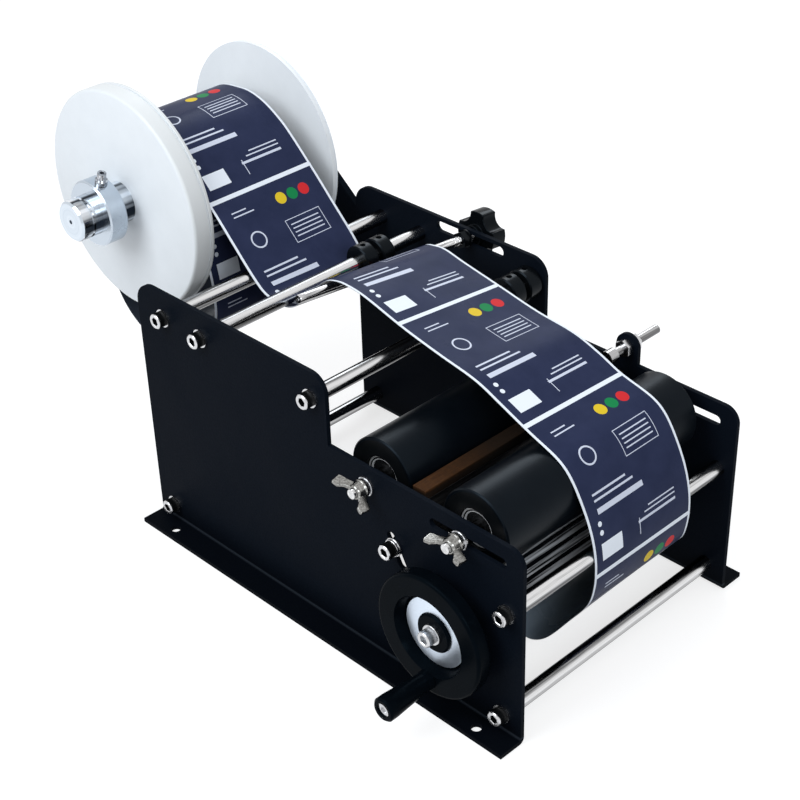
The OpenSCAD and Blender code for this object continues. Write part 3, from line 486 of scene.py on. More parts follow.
# Print of one label, in mm from its left edge and its leading gap: across, along, width, height
BARS = [(57.0, 84.0, 34.0, 1.7), (60.0, 80.2, 28.0, 0.9), (62.0, 77.4, 24.0, 0.9), (30.0, 63.0, 40.0, 3.4),
        (27.0, 56.6, 34.0, 1.3), (24.5, 53.0, 29.0, 1.3), (60.0, 40.5, 24.0, 0.8), (60.0, 37.6, 24.0, 0.8),
        (60.0, 34.7, 24.0, 0.8), (60.0, 31.8, 24.0, 0.8), (20.0, 12.6, 17.0, 0.9), (17.5, 9.6, 12.0, 0.9),
        (41.0, 87.0, 0.6, 11.0)]
BOX, BOX_LINE = (60.0, 36.2, 30.0, 17.0), 0.5
PANEL = (16.0, 87.5, 18.0, 11.0)
# across, along, diameter, and the colour of a dot or the hole of a ring
DOTS = [(52.0, 12.5, 8.4, INK_YELLOW), (62.0, 12.5, 8.4, INK_GREEN), (72.0, 12.5, 8.4, INK_RED),
        (9.0, 70.0, 3.2, INK_WHITE), (9.0, 75.5, 3.2, INK_WHITE)]
RING = (20.0, 32.0, 12.0, 9.8)


def printed_label(name):
    """Navy label film on a white liner, from the web's UV map, which is in millimetres."""
    material, tree, shader, _ = start_finish(name, Specular_IOR_Level=0.03, Specular_Tint=(0.72, 0.82, 1, 1))
    uv = node(tree, "ShaderNodeUVMap", uv_map="web_mm").outputs[0]
    part = split(tree, uv)
    run = calc(tree, "SUBTRACT", part["Y"], FIRST_GAP - LABEL_GAP / 2)
    along_label = calc(tree, "SUBTRACT", calc(tree, "FLOORED_MODULO", run, LABEL_PITCH), LABEL_GAP)
    spot = node(tree, "ShaderNodeCombineXYZ", {"X": part["X"], "Y": along_label}).outputs[0]

    def bar(across, along, width, height):
        return use(tree, BAR, Spot=spot, Across=across, Along=along, Width=width, Height=height)

    def dot(across, along, diameter, hole=0.0):
        return use(tree, DOT, Spot=spot, Across=across, Along=along, Diameter=diameter, Hole=hole)

    ink = blend_colour(tree, use(tree, GRAIN, Place=uv, Scale=0.05), NAVY_DARK, NAVY_LIGHT)
    across, along, width, height = BOX
    printed = calc(tree, "SUBTRACT", bar(*BOX), bar(across, along, width - 2 * BOX_LINE, height - 2 * BOX_LINE))
    for mask in [dot(*RING)] + [bar(*each) for each in BARS]:
        printed = calc(tree, "MAXIMUM", printed, mask)
    face = blend_colour(tree, printed, ink, INK_PALE)
    face = blend_colour(tree, bar(*PANEL), face, LINER_WHITE)
    for across, along, diameter, colour in DOTS:
        face = blend_colour(tree, dot(across, along, diameter), face, colour)
    length = LABEL_PITCH - LABEL_GAP
    label = bar(WEB_W / 2, length / 2, WEB_W - 2 * MARGIN, length)
    paint(tree, shader, blend_colour(tree, label, LINER_WHITE, face), uv, 0.03, 0.26, 0.36)
    fibre = use(tree, GRAIN, Place=uv, Scale=0.9)
    bump(tree, shader, calc(tree, "ADD", label, calc(tree, "MULTIPLY", fibre, 0.04)), 0.25, 0.00006)
    return material


def paper_layers(name, dark, light):
    """Edges of wound layers: fine rings round the reel's axis."""
    material, tree, shader, spot = start_finish(name, Specular_IOR_Level=0.2)
    layer = line_noise(tree, calc(tree, "MULTIPLY", axis_distance(tree, spot, REEL), 2600.0), 1.0)
    paint(tree, shader, blend_colour(tree, layer, dark, light), spot, 30.0, 0.6, 0.8)
    bump(tree, shader, layer, 0.4, 0.0003)
    return material


# dull colour, bright colour, lowest and highest roughness, tool marks, their scale and depth, share of painted
# reflection bands
METALS = {
    "rod_steel": ((0.1, 0.1, 0.102, 1), (0.66, 0.66, 0.665, 1), 0.12, 0.2, STREAKS, 1700.0, 0.03, 0.8),
    "thread_steel": ((0.3, 0.3, 0.305, 1), (0.84, 0.84, 0.85, 1), 0.12, 0.2, STREAKS, 1700.0, 0.02, 0.5),
    "stop_steel": ((0.1, 0.1, 0.102, 1), (0.5, 0.5, 0.505, 1), 0.14, 0.24, STREAKS, 1700.0, 0.03, 0.8),
    "peel_plate_steel": ((0.01, 0.01, 0.011, 1), (0.07, 0.07, 0.072, 1), 0.3, 0.42, STREAKS, 1500.0),
    "screw_steel": ((0.38, 0.385, 0.4, 1), (0.8, 0.8, 0.81, 1), 0.16, 0.28, RINGS, 5200.0),
    "spindle_chrome": ((0.4, 0.46, 0.53, 1), (0.62, 0.68, 0.75, 1), 0.2, 0.3, RINGS, 2400.0, 0.02),
    "bushing_brass": ((0.42, 0.29, 0.11, 1), (0.63, 0.46, 0.2, 1), 0.25, 0.38, RINGS, 4200.0),
    "core_aluminium": ((0.38, 0.39, 0.4, 1), (0.6, 0.61, 0.63, 1), 0.28, 0.4, RINGS, 3600.0),
    "bearing_steel": ((0.25, 0.255, 0.26, 1), (0.8, 0.8, 0.81, 1), 0.1, 0.18, RINGS, 6000.0),
    "ring_blue": ((0.66, 0.76, 0.9, 1), (0.82, 0.89, 0.97, 1), 0.3, 0.42, RINGS, 3000.0),
    "nut_nickel": ((0.13, 0.128, 0.122, 1), (0.4, 0.395, 0.378, 1), 0.14, 0.22, GRAIN, 800.0, 0.03),
    "lock_screw_nickel": ((0.06, 0.065, 0.075, 1), (0.74, 0.76, 0.8, 1), 0.1, 0.18, GRAIN, 420.0, 0.03),
}
RUBBER_TINT, WHEEL_TINT, BLACK_TINT = (0.6, 0.8, 1, 1), (0.45, 0.75, 1, 1), (0.65, 0.82, 1, 1)
# dark colour, light colour, lowest and highest roughness, gloss, grain, its depth, tint of the gloss
MOULDED = {
    "roller_rubber": ((0.0012, 0.0021, 0.0036, 1), (0.0022, 0.0034, 0.0052, 1), 0.3, 0.37, 0.1, 1600.0, 0.05, RUBBER_TINT),
    "wheel_black": ((0.0011, 0.0021, 0.0034, 1), (0.0019, 0.0032, 0.005, 1), 0.2, 0.28, 0.016, 1300.0, 0.03, WHEEL_TINT),
    "collar_black": ((0.002, 0.0026, 0.0035, 1), (0.0033, 0.0041, 0.0052, 1), 0.18, 0.27, 0.1, 1500.0, 0.05, BLACK_TINT),
    "knob_black": ((0.0016, 0.0022, 0.003, 1), (0.0028, 0.0036, 0.0046, 1), 0.14, 0.22, 0.08, 1300.0, 0.03, BLACK_TINT),
    "screw_head_black": ((0.0025, 0.0028, 0.0032, 1), (0.005, 0.0055, 0.006, 1), 0.26, 0.38, 0.12, 2400.0, 0.05),
    "roller_end_black": ((0.0022, 0.0027, 0.0033, 1), (0.004, 0.0047, 0.0056, 1), 0.3, 0.4, 0.08, 1500.0, 0.05),
    # painted light: a lighter copy of the liner colour, for the liner seen inside the front loop
    "liner_lit_in_loop": ((0.15, 0.185, 0.225, 1), (0.19, 0.23, 0.27, 1), 0.24, 0.32, 0.3, 500.0, 0.02),
    "liner_back": ((0.03, 0.037, 0.052, 1), (0.04, 0.048, 0.066, 1), 0.2, 0.28, 0.1, 500.0, 0.02),
    "liner_edge": ((0.7, 0.74, 0.8, 1), (0.8, 0.84, 0.9, 1), 0.4, 0.5, 0.2, 500.0, 0.02),
    "label_roll_outside": (NAVY_DARK, NAVY_LIGHT, 0.28, 0.36, 0.3, 500.0, 0.02),
}
# Painted highlight along the plates' bent feet: from and to in metres of height, and its colour
BEND_HIGHLIGHT = (0.003, 0.0052, (0.022, 0.028, 0.037, 1))
FINISH = {
    "plate_black": powder_coat("plate_black", (0.003, 0.0047, 0.0082, 1), (0.0048, 0.0072, 0.012, 1), 0.01, BEND_HIGHLIGHT),
    "core_card": powder_coat("core_card", (0.34, 0.24, 0.14, 1), (0.46, 0.34, 0.21, 1), 0.1),
    "flange_white": reel_plastic("flange_white"),
    "strip_wood": brown_strip("strip_wood"),
    "label_film": printed_label("label_film"),
    "label_paper": paper_layers("label_paper", (0.5, 0.5, 0.52, 1), (0.74, 0.75, 0.78, 1)),
}
for finish, values in METALS.items():
    FINISH[finish] = bright_metal(finish, *values)
for finish, values in MOULDED.items():
    FINISH[finish] = moulded(finish, *values)

# Nodes whose finish is not that of their slot
OWN_FINISH = {
    "front_roller_tube": FINISH["roller_end_black"], "rear_roller_tube": FINISH["roller_end_black"],
    "stop_rod": FINISH["stop_steel"], "peel_plate": FINISH["peel_plate_steel"],
    "lock_screw": FINISH["lock_screw_nickel"], "star_knob": FINISH["knob_black"],
    "drive_cover": fluted_rubber("flute_black"), "reel_spindle": spindle_mirror("spindle_mirror"),
    "front_bearings": shielded_bearing("front_bearing_steel", FRONT_AXLE),
    "rear_bearings": shielded_bearing("rear_bearing_steel", REAR_AXLE),
    "front_axle": axle_steel("axle_steel"),
}
OWN_FINISH["rear_axle"] = OWN_FINISH["front_axle"]
# Where the darkest painted reflection line runs along each tie rod, in degrees round its axis
ROD_REFLECTION_DARK = {"upper_rear_rod": 58, "upper_mid_rod": 48, "tower_rod": 62,
            "lower_rear_rod": 66, "front_rod": 38, "lower_front_rod": 76}
for (rod, reflection_dark_at), axis in zip(ROD_REFLECTION_DARK.items(), ROD_PLACES):
    OWN_FINISH[rod] = chromed_rod(rod + "_chrome", axis, reflection_dark_at)
for node_name, slot in SLOT_OF.items():
    materials = frame["nodes"][node_name].data.materials
    materials.clear()
    materials.append(OWN_FINISH.get(node_name, FINISH[slot]))


# ---------------------------------------------------------------- making pieces
def new_piece(name, mesh, materials):
    piece = bpy.data.objects.new(name, mesh)
    bpy.context.scene.collection.objects.link(piece)
    for material in materials:
        mesh.materials.append(material)
    return piece


def mesh_from(name, made):
    mesh = bpy.data.meshes.new(name)
    made.to_mesh(mesh)
    made.free()
    return mesh


def closed_piece(name, made, *materials):
    """A piece from a bmesh whose faces are turned outward first."""
    bmesh.ops.recalc_face_normals(made, faces=made.faces[:])
    return new_piece(name, mesh_from(name, made), materials)


def settle(piece, sharp=None):
    """Turns a piece's modifiers into a plain mesh, shaded smooth up to the given angle where there is one."""
    bpy.context.view_layer.update()
    shaped = piece.evaluated_get(bpy.context.evaluated_depsgraph_get())
    mesh = bpy.data.meshes.new_from_object(shaped)
    piece.modifiers.clear()
    piece.data = mesh
    if sharp is not None:
        mesh.shade_smooth()
        mesh.set_sharp_from_angle(angle=math.radians(sharp))
    return piece


def shape_tree(name, inputs, build):
    """A Geometry Nodes tree with named inputs, each (name, type, default)."""
    tree = bpy.data.node_groups.new(name, "GeometryNodeTree")
    tree.interface.new_socket("Geometry", in_out="OUTPUT", socket_type="NodeSocketGeometry")
    tree.interface.new_socket("Geometry", in_out="INPUT", socket_type="NodeSocketGeometry")
    for label, kind, default in inputs:
        socket = tree.interface.new_socket(label, in_out="INPUT", socket_type=kind)
        if default is not None:
            socket.default_value = default
    entry, leave = node(tree, "NodeGroupInput"), node(tree, "NodeGroupOutput")
    tree.links.new(build(tree, entry.outputs), leave.inputs[0])
    return tree


def grow(piece, tree, values, sharp):
    """Runs a tree on a piece with the named values and keeps what it makes as a plain mesh."""
    modifier = piece.modifiers.new(tree.name, "NODES")
    modifier.node_group = tree
    for socket in tree.interface.items_tree:
        if socket.in_out == "INPUT" and socket.name in values:
            modifier[socket.identifier] = values[socket.name]
    return settle(piece, sharp)


def realized(tree, geometry):
    return node(tree, "GeometryNodeRealizeInstances", {"Geometry": geometry}).outputs[0]


def finished(tree, geometry, material, selection=True):
    inputs = {"Geometry": geometry, "Selection": selection, "Material": material}
    return node(tree, "GeometryNodeSetMaterial", inputs).outputs[0]


def stand_for(piece, slot, *nodes):
    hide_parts(*nodes)
    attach(piece, BODY_OF[nodes[0]])


# ---------------------------------------------------------------- label web
def smooth_line(points, steps):
    """Curve through the points, each [from the front, height at the left, height at the right]."""
    line = []
    for i in range(len(points) - 1):
        a, b, c, d = (Vector(points[max(0, min(len(points) - 1, k))]) for k in (i - 1, i, i + 1, i + 2))
        for s in range(steps):
            t = s / steps
            bend, twist = 2 * a - 5 * b + 4 * c - d, 3 * b - a - 3 * c + d
            line.append(0.5 * (2 * b + (c - a) * t + bend * t * t + twist * t ** 3))
    return line + [Vector(points[-1])]


def reach_along(line):
    """Distance travelled by the web's middle at each point of the line."""
    reach = [0.0]
    for a, b in zip(line, line[1:]):
        reach.append(reach[-1] + math.hypot(b[0] - a[0], ((b[1] + b[2]) - (a[1] + a[2])) / 2))
    return reach


def ease_line(line, plain, stiff, start, end):
    """Averages each point with its neighbours, as stiff film bends. Between start and end the wider spread counts."""
    reach = reach_along(line)
    eased = []
    for i, here in enumerate(reach):
        inside = max(0.0, min(1.0, (here - start) / 20, (end - here) / 20))
        spread = min(plain + (stiff - plain) * inside, here / 3 + 0.01, (reach[-1] - here) / 3 + 0.01)
        total, weights = Vector((0, 0, 0)), 0.0
        for k in range(max(0, i - 24), min(len(line), i + 25)):
            step = reach[min(len(line) - 1, k + 1)] - reach[max(0, k - 1)]
            weight = step * math.exp(-0.5 * ((reach[k] - here) / spread) ** 2)
            total += weight * line[k]
            weights += weight
        eased.append(total / weights)
    return eased


def offsets(origin, points):
    return [(origin[0] + p[0], origin[1] + p[1], origin[1] + p[-1]) for p in points]


def round_reel(points):
    """Points given as (degrees round the reel's axis, radius)."""
    return offsets(REEL, [(r * math.cos(math.radians(t)), r * math.sin(math.radians(t))) for t, r in points])


SLACK_TURN = [(-55, 8), (-61, -22), (-67, -55), (-62, -85), (-40, -107), (-12, -117), (15, -115),
              (37, -101), (50, -76), (54, -38)]
LIFT_OFF = [(105, 51.4), (120, 53.6), (135, 56.4), (150, 61)]
OVER_MID_ROD = [(62, 35), (47, 20), (32, 5.2), (21, -3.5, -6.5), (11, -6, -11.5),
                (0, -6.3, -14.2), (-10, -2.5, -11.5), (-19, 6, -3.4)]
OVER_GUIDE = [(16, 3.5, -5.5), (4, 15.5, 6.8), (-6, 19.3, 9.6), (-15, 20, 10), (-31, 18, 6.5),
              (-63, 9.2, 0.5), (-92, 3, -5), (-121, -2.6, -8.4)]
OVER_ROLLER = [(33, 41, 37), (15.7, 33.6, 29.8), (0, 27.4, 25.8), (-15.4, 21.6, 21.3), (-27, 4.5)]
IN_FRONT = [(-1.6, 18), (-6, -1), (-5.9, -16), (-1.7, -33)]
INTO_NIP = [(-46.6, -6.6, 1), (-28, -31, -20), (-13, -39, -28), (-3.5, -31, -23), (-6, -15, -13),
            (-4.4, -4.8), (0, 0), (8.6, 8.5), (17.6, 16.5), (29.6, 24)]
PLAIN_SPREAD, STIFF_SPREAD = 1.6, 8.0
STIFF_FROM, STIFF_TO = 780, 905
WEB_SPLITS = (626.4, 714.0, 799.5)
WEB_STEPS = 8
WEB_COLUMNS = 12


def web_route():
    wrapped = [(t, ROLL_D / 2 + 0.7) for t in range(0, 91, 15)]
    return (offsets(REEL, SLACK_TURN) + round_reel(wrapped + LIFT_OFF) + offsets(MID_ROD, OVER_MID_ROD)
            + offsets(GUIDE, OVER_GUIDE) + offsets(FRONT_AXLE, OVER_ROLLER) + offsets(FRONT_ROD, IN_FRONT)
            + offsets(NIP, INTO_NIP))


def web_piece(name, line, reach, first, last, liner):
    """One stretch of the web: a thin closed sheet with print outside, liner inside and a UV map in mm."""
    def heading(i, side):
        ahead, behind = line[min(len(line) - 1, i + 1)], line[max(0, i - 1)]
        return Vector((ahead[0] - behind[0], ahead[side] - behind[side])).normalized()

    def outward(i, side):
        d = heading(i, side)
        return Vector((d[1], -d[0]))

    made = bmesh.new()
    uv = made.loops.layers.uv.new("web_mm")
    skins, normals = [], []
    for face in (1, -1):
        rows = []
        for i in range(first, last + 1):
            left, right = (Vector((line[i][0], line[i][s])) + face * WEB_T / 2 * outward(i, s) for s in (1, 2))
            cross = Vector((WEB_W, right[0] - left[0], right[1] - left[1]))
            row = []
            for c in range(WEB_COLUMNS + 1):
                share = c / WEB_COLUMNS
                spot = left.lerp(right, share)
                row.append(made.verts.new(place(WEB_X + share * WEB_W, *spot)))
                d = heading(i, 1).lerp(heading(i, 2), share)
                normals.append(face * Vector((0, d[0], d[1])).cross(cross).normalized())
            rows.append(row)
        skins.append(rows)

    def add(corners, where, material):
        face = made.faces.new(corners)
        face.material_index = material
        face.smooth = True
        for loop, (share, i) in zip(face.loops, where):
            loop[uv].uv = (share * WEB_W, reach[first + i])

    count = last - first
    for i in range(count):
        for c in range(WEB_COLUMNS):
            square = [(c, i), (c + 1, i), (c + 1, i + 1), (c, i + 1)]
            where = [(k / WEB_COLUMNS, r) for k, r in square]
            add([skins[0][r][k] for k, r in reversed(square)], where[::-1], 0)
            add([skins[1][r][k] for k, r in square], where, 1)
        for c in (0, WEB_COLUMNS):
            wall = [skins[0][i][c], skins[0][i + 1][c], skins[1][i + 1][c], skins[1][i][c]]
            where = [(c / WEB_COLUMNS, r) for r in (i, i + 1, i + 1, i)]
            add(wall if c else wall[::-1], where if c else where[::-1], 2)
    for i in (0, count):
        for c in range(WEB_COLUMNS):
            wall = [skins[0][i][c + 1], skins[0][i][c], skins[1][i][c], skins[1][i][c + 1]]
            where = [(k / WEB_COLUMNS, i) for k in (c + 1, c, c, c + 1)]
            add(wall if i else wall[::-1], where if i else where[::-1], 2)
    piece = new_piece(name, mesh_from(name, made), [FINISH["label_film"], liner, FINISH["liner_edge"]])
    piece.data.normals_split_custom_set_from_vertices(normals)
    return piece


def hang_web():
    line = smooth_line(web_route(), WEB_STEPS)
    line = ease_line(line, PLAIN_SPREAD, STIFF_SPREAD, STIFF_FROM, STIFF_TO)
    reach = reach_along(line)
    at_guide, at_rollers, at_front = (next(i for i, r in enumerate(reach) if r >= s) for s in WEB_SPLITS)
    # name, first and last row, liner, the two bodies it hangs between, where the blend starts and ends, what holds it
    stretches = [
        ("web_reel_to_guide", 0, at_guide, "liner_back", "frame", "guide", (256, 158), (224, 158),
         ["label_roll", "upper_mid_rod", "guide_rod"]),
        ("web_behind_rollers", at_guide, at_rollers, "liner_back", "guide", "frame", (210, 185), (130, 185),
         ["guide_rod"]),
        ("web_over_roller", at_rollers, at_front, "liner_back", "frame", "front_axle_carrier", (126, 165), (66, 165),
         ["front_roller_cover"]),
        ("web_front_loop", at_front, len(line) - 1, "liner_lit_in_loop", "front_axle_carrier", "frame", (20, 112), (20, 92),
         ["front_roller_cover", "drive_cover"]),
    ]
    for name, first, last, liner, a, b, start, end, held_by in stretches:
        piece = web_piece(name, line, reach, first, last, FINISH[liner])
        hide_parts("label_web")
        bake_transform(piece)


hang_web()


# ---------------------------------------------------------------- wound label roll
def build_winding(tree, given):
    """One strip wound from the core outwards, with layer edges that don't quite line up."""
    layer = calc(tree, "DIVIDE", calc(tree, "SUBTRACT", given["Outer Radius"], given["Inner Radius"]), given["Turns"])
    half = calc(tree, "MULTIPLY", layer, 0.5)
    spiral = node(tree, "GeometryNodeCurveSpiral", {
        "Resolution": 72, "Rotations": calc(tree, "SUBTRACT", given["Turns"], 1.0), "Height": 0.0,
        "Start Radius": calc(tree, "ADD", given["Inner Radius"], half),
        "End Radius": calc(tree, "SUBTRACT", given["Outer Radius"], half)})
    step = calc(tree, "MULTIPLY", node(tree, "GeometryNodeInputIndex").outputs[0], 0.02)
    shift = calc(tree, "MULTIPLY", calc(tree, "SUBTRACT", line_noise(tree, step, 1.0), 0.5), given["Wander"])
    offset = node(tree, "ShaderNodeCombineXYZ", {"Z": shift}).outputs[0]
    uneven = node(tree, "GeometryNodeSetPosition", {"Geometry": spiral.outputs[0], "Offset": offset})
    section = node(tree, "GeometryNodeCurvePrimitiveQuadrilateral", {
        "Width": calc(tree, "MULTIPLY", layer, 0.9), "Height": given["Width"]})
    strip = node(tree, "GeometryNodeCurveToMesh", {
        "Curve": uneven.outputs[0], "Profile Curve": section.outputs[0], "Fill Caps": True})
    edges = finished(tree, realized(tree, strip.outputs[0]), given["Edge Finish"])
    flat = vector(tree, "MULTIPLY", node(tree, "GeometryNodeInputPosition").outputs[0], (1.0, 1.0, 0.0))
    last_layer = calc(tree, "SUBTRACT", given["Outer Radius"], calc(tree, "MULTIPLY", layer, 0.4))
    outside = calc(tree, "GREATER_THAN", vector(tree, "LENGTH", flat, result="Value"), last_layer)
    return finished(tree, edges, given["Outer Finish"], outside)


MATERIAL, OBJECT = "NodeSocketMaterial", "NodeSocketObject"
WINDING = shape_tree("wound_strip", [
    ("Inner Radius", FLOAT, 0.02), ("Outer Radius", FLOAT, 0.05), ("Turns", FLOAT, 30.0), ("Width", FLOAT, 0.09),
    ("Wander", FLOAT, 0.0005), ("Edge Finish", MATERIAL, None), ("Outer Finish", MATERIAL, None)], build_winding)


def wind_roll():
    piece = new_piece("label_roll_wound", bpy.data.meshes.new("label_roll_wound"), [])
    grow(piece, WINDING, {
        "Inner Radius": 23.05 * MM, "Outer Radius": (ROLL_D / 2 - 0.05) * MM, "Turns": 34.0,
        "Width": (WEB_W - 0.8) * MM, "Wander": 0.6 * MM,
        "Edge Finish": FINISH["label_paper"], "Outer Finish": FINISH["label_roll_outside"]}, 30.0)
    across_reel = Matrix(((0, 0, 1), (1, 0, 0), (0, 1, 0))).to_4x4()
    piece.data.transform(Matrix.Translation(place(WEB_X + WEB_W / 2, *REEL)) @ across_reel)
    stand_for(piece, "label_paper", "label_roll")


wind_roll()


# ---------------------------------------------------------------- socket screws
SCREW_STEPS = 96
# height and radius (and depth of the knurl) of the rings of a head, height and width over flats of its socket
HEAD = [(0, 2.9), (0, 4.75), (0.35, 5.0, 0.16), (4.7, 5.0, 0.16), (4.95, 4.95), (5.5, 4.9), (6.0, 4.4)]
SOCKET = [(6.0, 5.5), (5.65, 5.0), (3.0, 5.0)]
WASHER_BORE, WASHER_EDGE = 3.2, 0.2


def ring_of(made, z, radius_at):
    """A ring of points round the screw's axis, whose radius comes from a point's number and angle."""
    ring = []
    for k in range(SCREW_STEPS):
        angle = 2 * math.pi * k / SCREW_STEPS
        r = radius_at(k, angle) * MM
        ring.append(made.verts.new((r * math.cos(angle), r * math.sin(angle), z * MM)))
    return ring


def screw_ring(made, z, radius, ridge=0.0):
    """A round ring with every other point set in by ridge."""
    return ring_of(made, z, lambda k, angle: radius - ridge * (k % 2))


def socket_ring(made, z, flats):
    """A hexagonal ring."""
    sixth = math.pi / 3
    return ring_of(made, z, lambda k, angle: flats / 2 / math.cos((angle + sixth / 2) % sixth - sixth / 2))


def skin_rings(made, mark, rings, bright=(), closed=False):
    """Faces between neighbouring rings; those whose first ring is in bright carry the mark."""
    pairs = list(zip(rings, rings[1:])) + ([(rings[-1], rings[0])] if closed else [])
    for i, (a, b) in enumerate(pairs):
        for k in range(SCREW_STEPS):
            n = (k + 1) % SCREW_STEPS
            made.faces.new((a[k], a[n], b[n], b[k]))[mark] = i in bright


def close_ring(made, ring, z):
    tip = made.verts.new((0, 0, z * MM))
    for k in range(SCREW_STEPS):
        made.faces.new((ring[k], ring[(k + 1) % SCREW_STEPS], tip))


def socket_screw(name, shank, washers):
    """Knurled socket screw with its head on z = 0. Washers are (outer radius, from, to) under the head."""
    made = bmesh.new()
    mark = made.faces.layers.bool.new("bright_face")
    rings = [screw_ring(made, *at) for at in [(-shank, 2.9)] + HEAD] + [socket_ring(made, *at) for at in SOCKET]
    skin_rings(made, mark, rings, bright=(5, 6, 7, 8))
    close_ring(made, rings[0], -shank)
    close_ring(made, rings[-1], 2.4)
    for outer, start, end in washers:
        profile = [(start, WASHER_BORE), (start, outer), (end - WASHER_EDGE, outer), (end, outer - WASHER_EDGE),
                   (end, WASHER_BORE)]
        loop = [screw_ring(made, *at) for at in profile]
        skin_rings(made, mark, loop, bright=range(5), closed=True)
    return closed_piece(name, made)


def build_screws(tree, given):
    pattern = node(tree, "GeometryNodeObjectInfo", {"Object": given["Screw"]})
    facing = node(tree, "GeometryNodeInputNamedAttribute", {"Name": "facing"}, data_type="FLOAT_VECTOR")
    placed = node(tree, "GeometryNodeInstanceOnPoints", {
        "Points": given["Geometry"], "Instance": pattern.outputs["Geometry"], "Rotation": facing.outputs[0]})
    sides = finished(tree, realized(tree, placed.outputs[0]), given["Side Finish"])
    bright = node(tree, "GeometryNodeInputNamedAttribute", {"Name": "bright_face"}, data_type="BOOLEAN")
    return finished(tree, sides, given["Face Finish"], bright.outputs[0])


SCREWS = shape_tree("screws_on_their_places", [
    ("Screw", OBJECT, None), ("Side Finish", MATERIAL, None), ("Face Finish", MATERIAL, None)], build_screws)


def set_screws(name, node_name, places, shank, washers=(), side_finish="screw_head_black"):
    """Screws on both sides of the machine: places are (x on the left, x on the right, (y, z))."""
    spots, turns = [], []
    for i, (left, right, p) in enumerate(places):
        for x, side in ((left, -1), (right, 1)):
            spots.append(place(x, *p))
            twist = Matrix.Rotation(0.7 + 1.3 * i + 0.5 * side, 3, "X") @ Matrix.Rotation(side * math.pi / 2, 3, "Y")
            turns += list(twist.to_euler())
    mesh = bpy.data.meshes.new(name)
    mesh.from_pydata(spots, [], [])
    mesh.attributes.new("facing", "FLOAT_VECTOR", "POINT").data.foreach_set("vector", turns)
    pattern = socket_screw(name + "_pattern", shank, washers)
    finishes = {"Side Finish": FINISH[side_finish], "Face Finish": FINISH["screw_steel"]}
    piece = grow(new_piece(name, mesh, []), SCREWS, {"Screw": pattern, **finishes}, 28.0)
    bpy.data.objects.remove(pattern)
    stand_for(piece, "screw_steel", node_name)


set_screws("frame_socket_screws", "frame_screws", [(-1.6, FRAME_W + 1.6, p) for p in ROD_PLACES], 17.6)
set_screws("peel_socket_screws", "peel_screws", [(-3.1, FRAME_W + 3.1, PEEL)], 19.1,
           [(6.0, -2.8, -1.5), (5.5, -1.45, 0.0)])
set_screws("shaft_socket_screws", "shaft_end_screws", [(-16.1, FRAME_W + 5.5, DRIVE)], 11.5,
           [(6.5, -1.5, 0.0)], "core_aluminium")


# ---------------------------------------------------------------- wing nuts
def turned(made, profile, steps, centre):
    """Revolves a closed profile of (along x, radius) in mm about the line along x through centre."""
    rings = []
    for k in range(steps):
        angle = 2 * math.pi * k / steps
        y, z = math.cos(angle), math.sin(angle)
        rings.append([made.verts.new(place(x, centre[0] + r * y, centre[1] + r * z)) for x, r in profile])
    for k in range(steps):
        a, b = rings[k], rings[(k + 1) % steps]
        for j in range(len(profile)):
            n = (j + 1) % len(profile)
            made.faces.new((a[j], a[n], b[n], b[j]))


WING = [(3.6, 2.0), (6.0, 2.2), (9.0, 4.2), (13.0, 5.6), (14.0, 6.6), (13.2, 12.4),
        (12.2, 13.0), (9.0, 12.0), (6.2, 8.2), (3.6, 6.6)]
NUT_SEAT = -3.4


def wing_nut(name, node_name, centre, turn):
    """Cast wing nut: hub and wings grown into one rounded skin."""
    made = bmesh.new()
    hub = [(0, 3.15), (0, 6.0), (1.4, 6.0), (2.0, 5.5), (6.0, 4.7), (7.0, 4.1), (7.0, 3.15)]
    turned(made, [(NUT_SEAT - z, r) for z, r in hub], 64, centre)
    for half_turn in (0, math.pi):
        angle = math.radians(turn) + half_turn
        out, across = (math.sin(angle), math.cos(angle)), (math.cos(angle), -math.sin(angle))
        sides = []
        for side in (-1, 1):
            row = []
            for r, z in WING:
                t = side * (1.5 - 0.035 * r)
                at = [centre[k] + r * out[k] + t * across[k] for k in (0, 1)]
                row.append(made.verts.new(place(NUT_SEAT - z, *at)))
            sides.append(row)
        made.faces.new(sides[0])
        made.faces.new(sides[1][::-1])
        for k in range(len(WING)):
            n = (k + 1) % len(WING)
            made.faces.new((sides[0][k], sides[1][k], sides[1][n], sides[0][n]))
    piece = closed_piece(name, made, FINISH["nut_nickel"])
    skin = piece.modifiers.new("skin", "REMESH")
    skin.mode = "VOXEL"
    skin.voxel_size = 0.26 * MM
    round_off = piece.modifiers.new("round_off", "SMOOTH")
    round_off.factor = 0.5
    round_off.iterations = 5
    settle(piece, 70.0)
    stand_for(piece, "nut_nickel", node_name)


wing_nut("front_wing_nut", "front_wing_nut_left", FRONT_AXLE, 82)
wing_nut("rear_wing_nut", "rear_wing_nut_left", REAR_AXLE, 64)


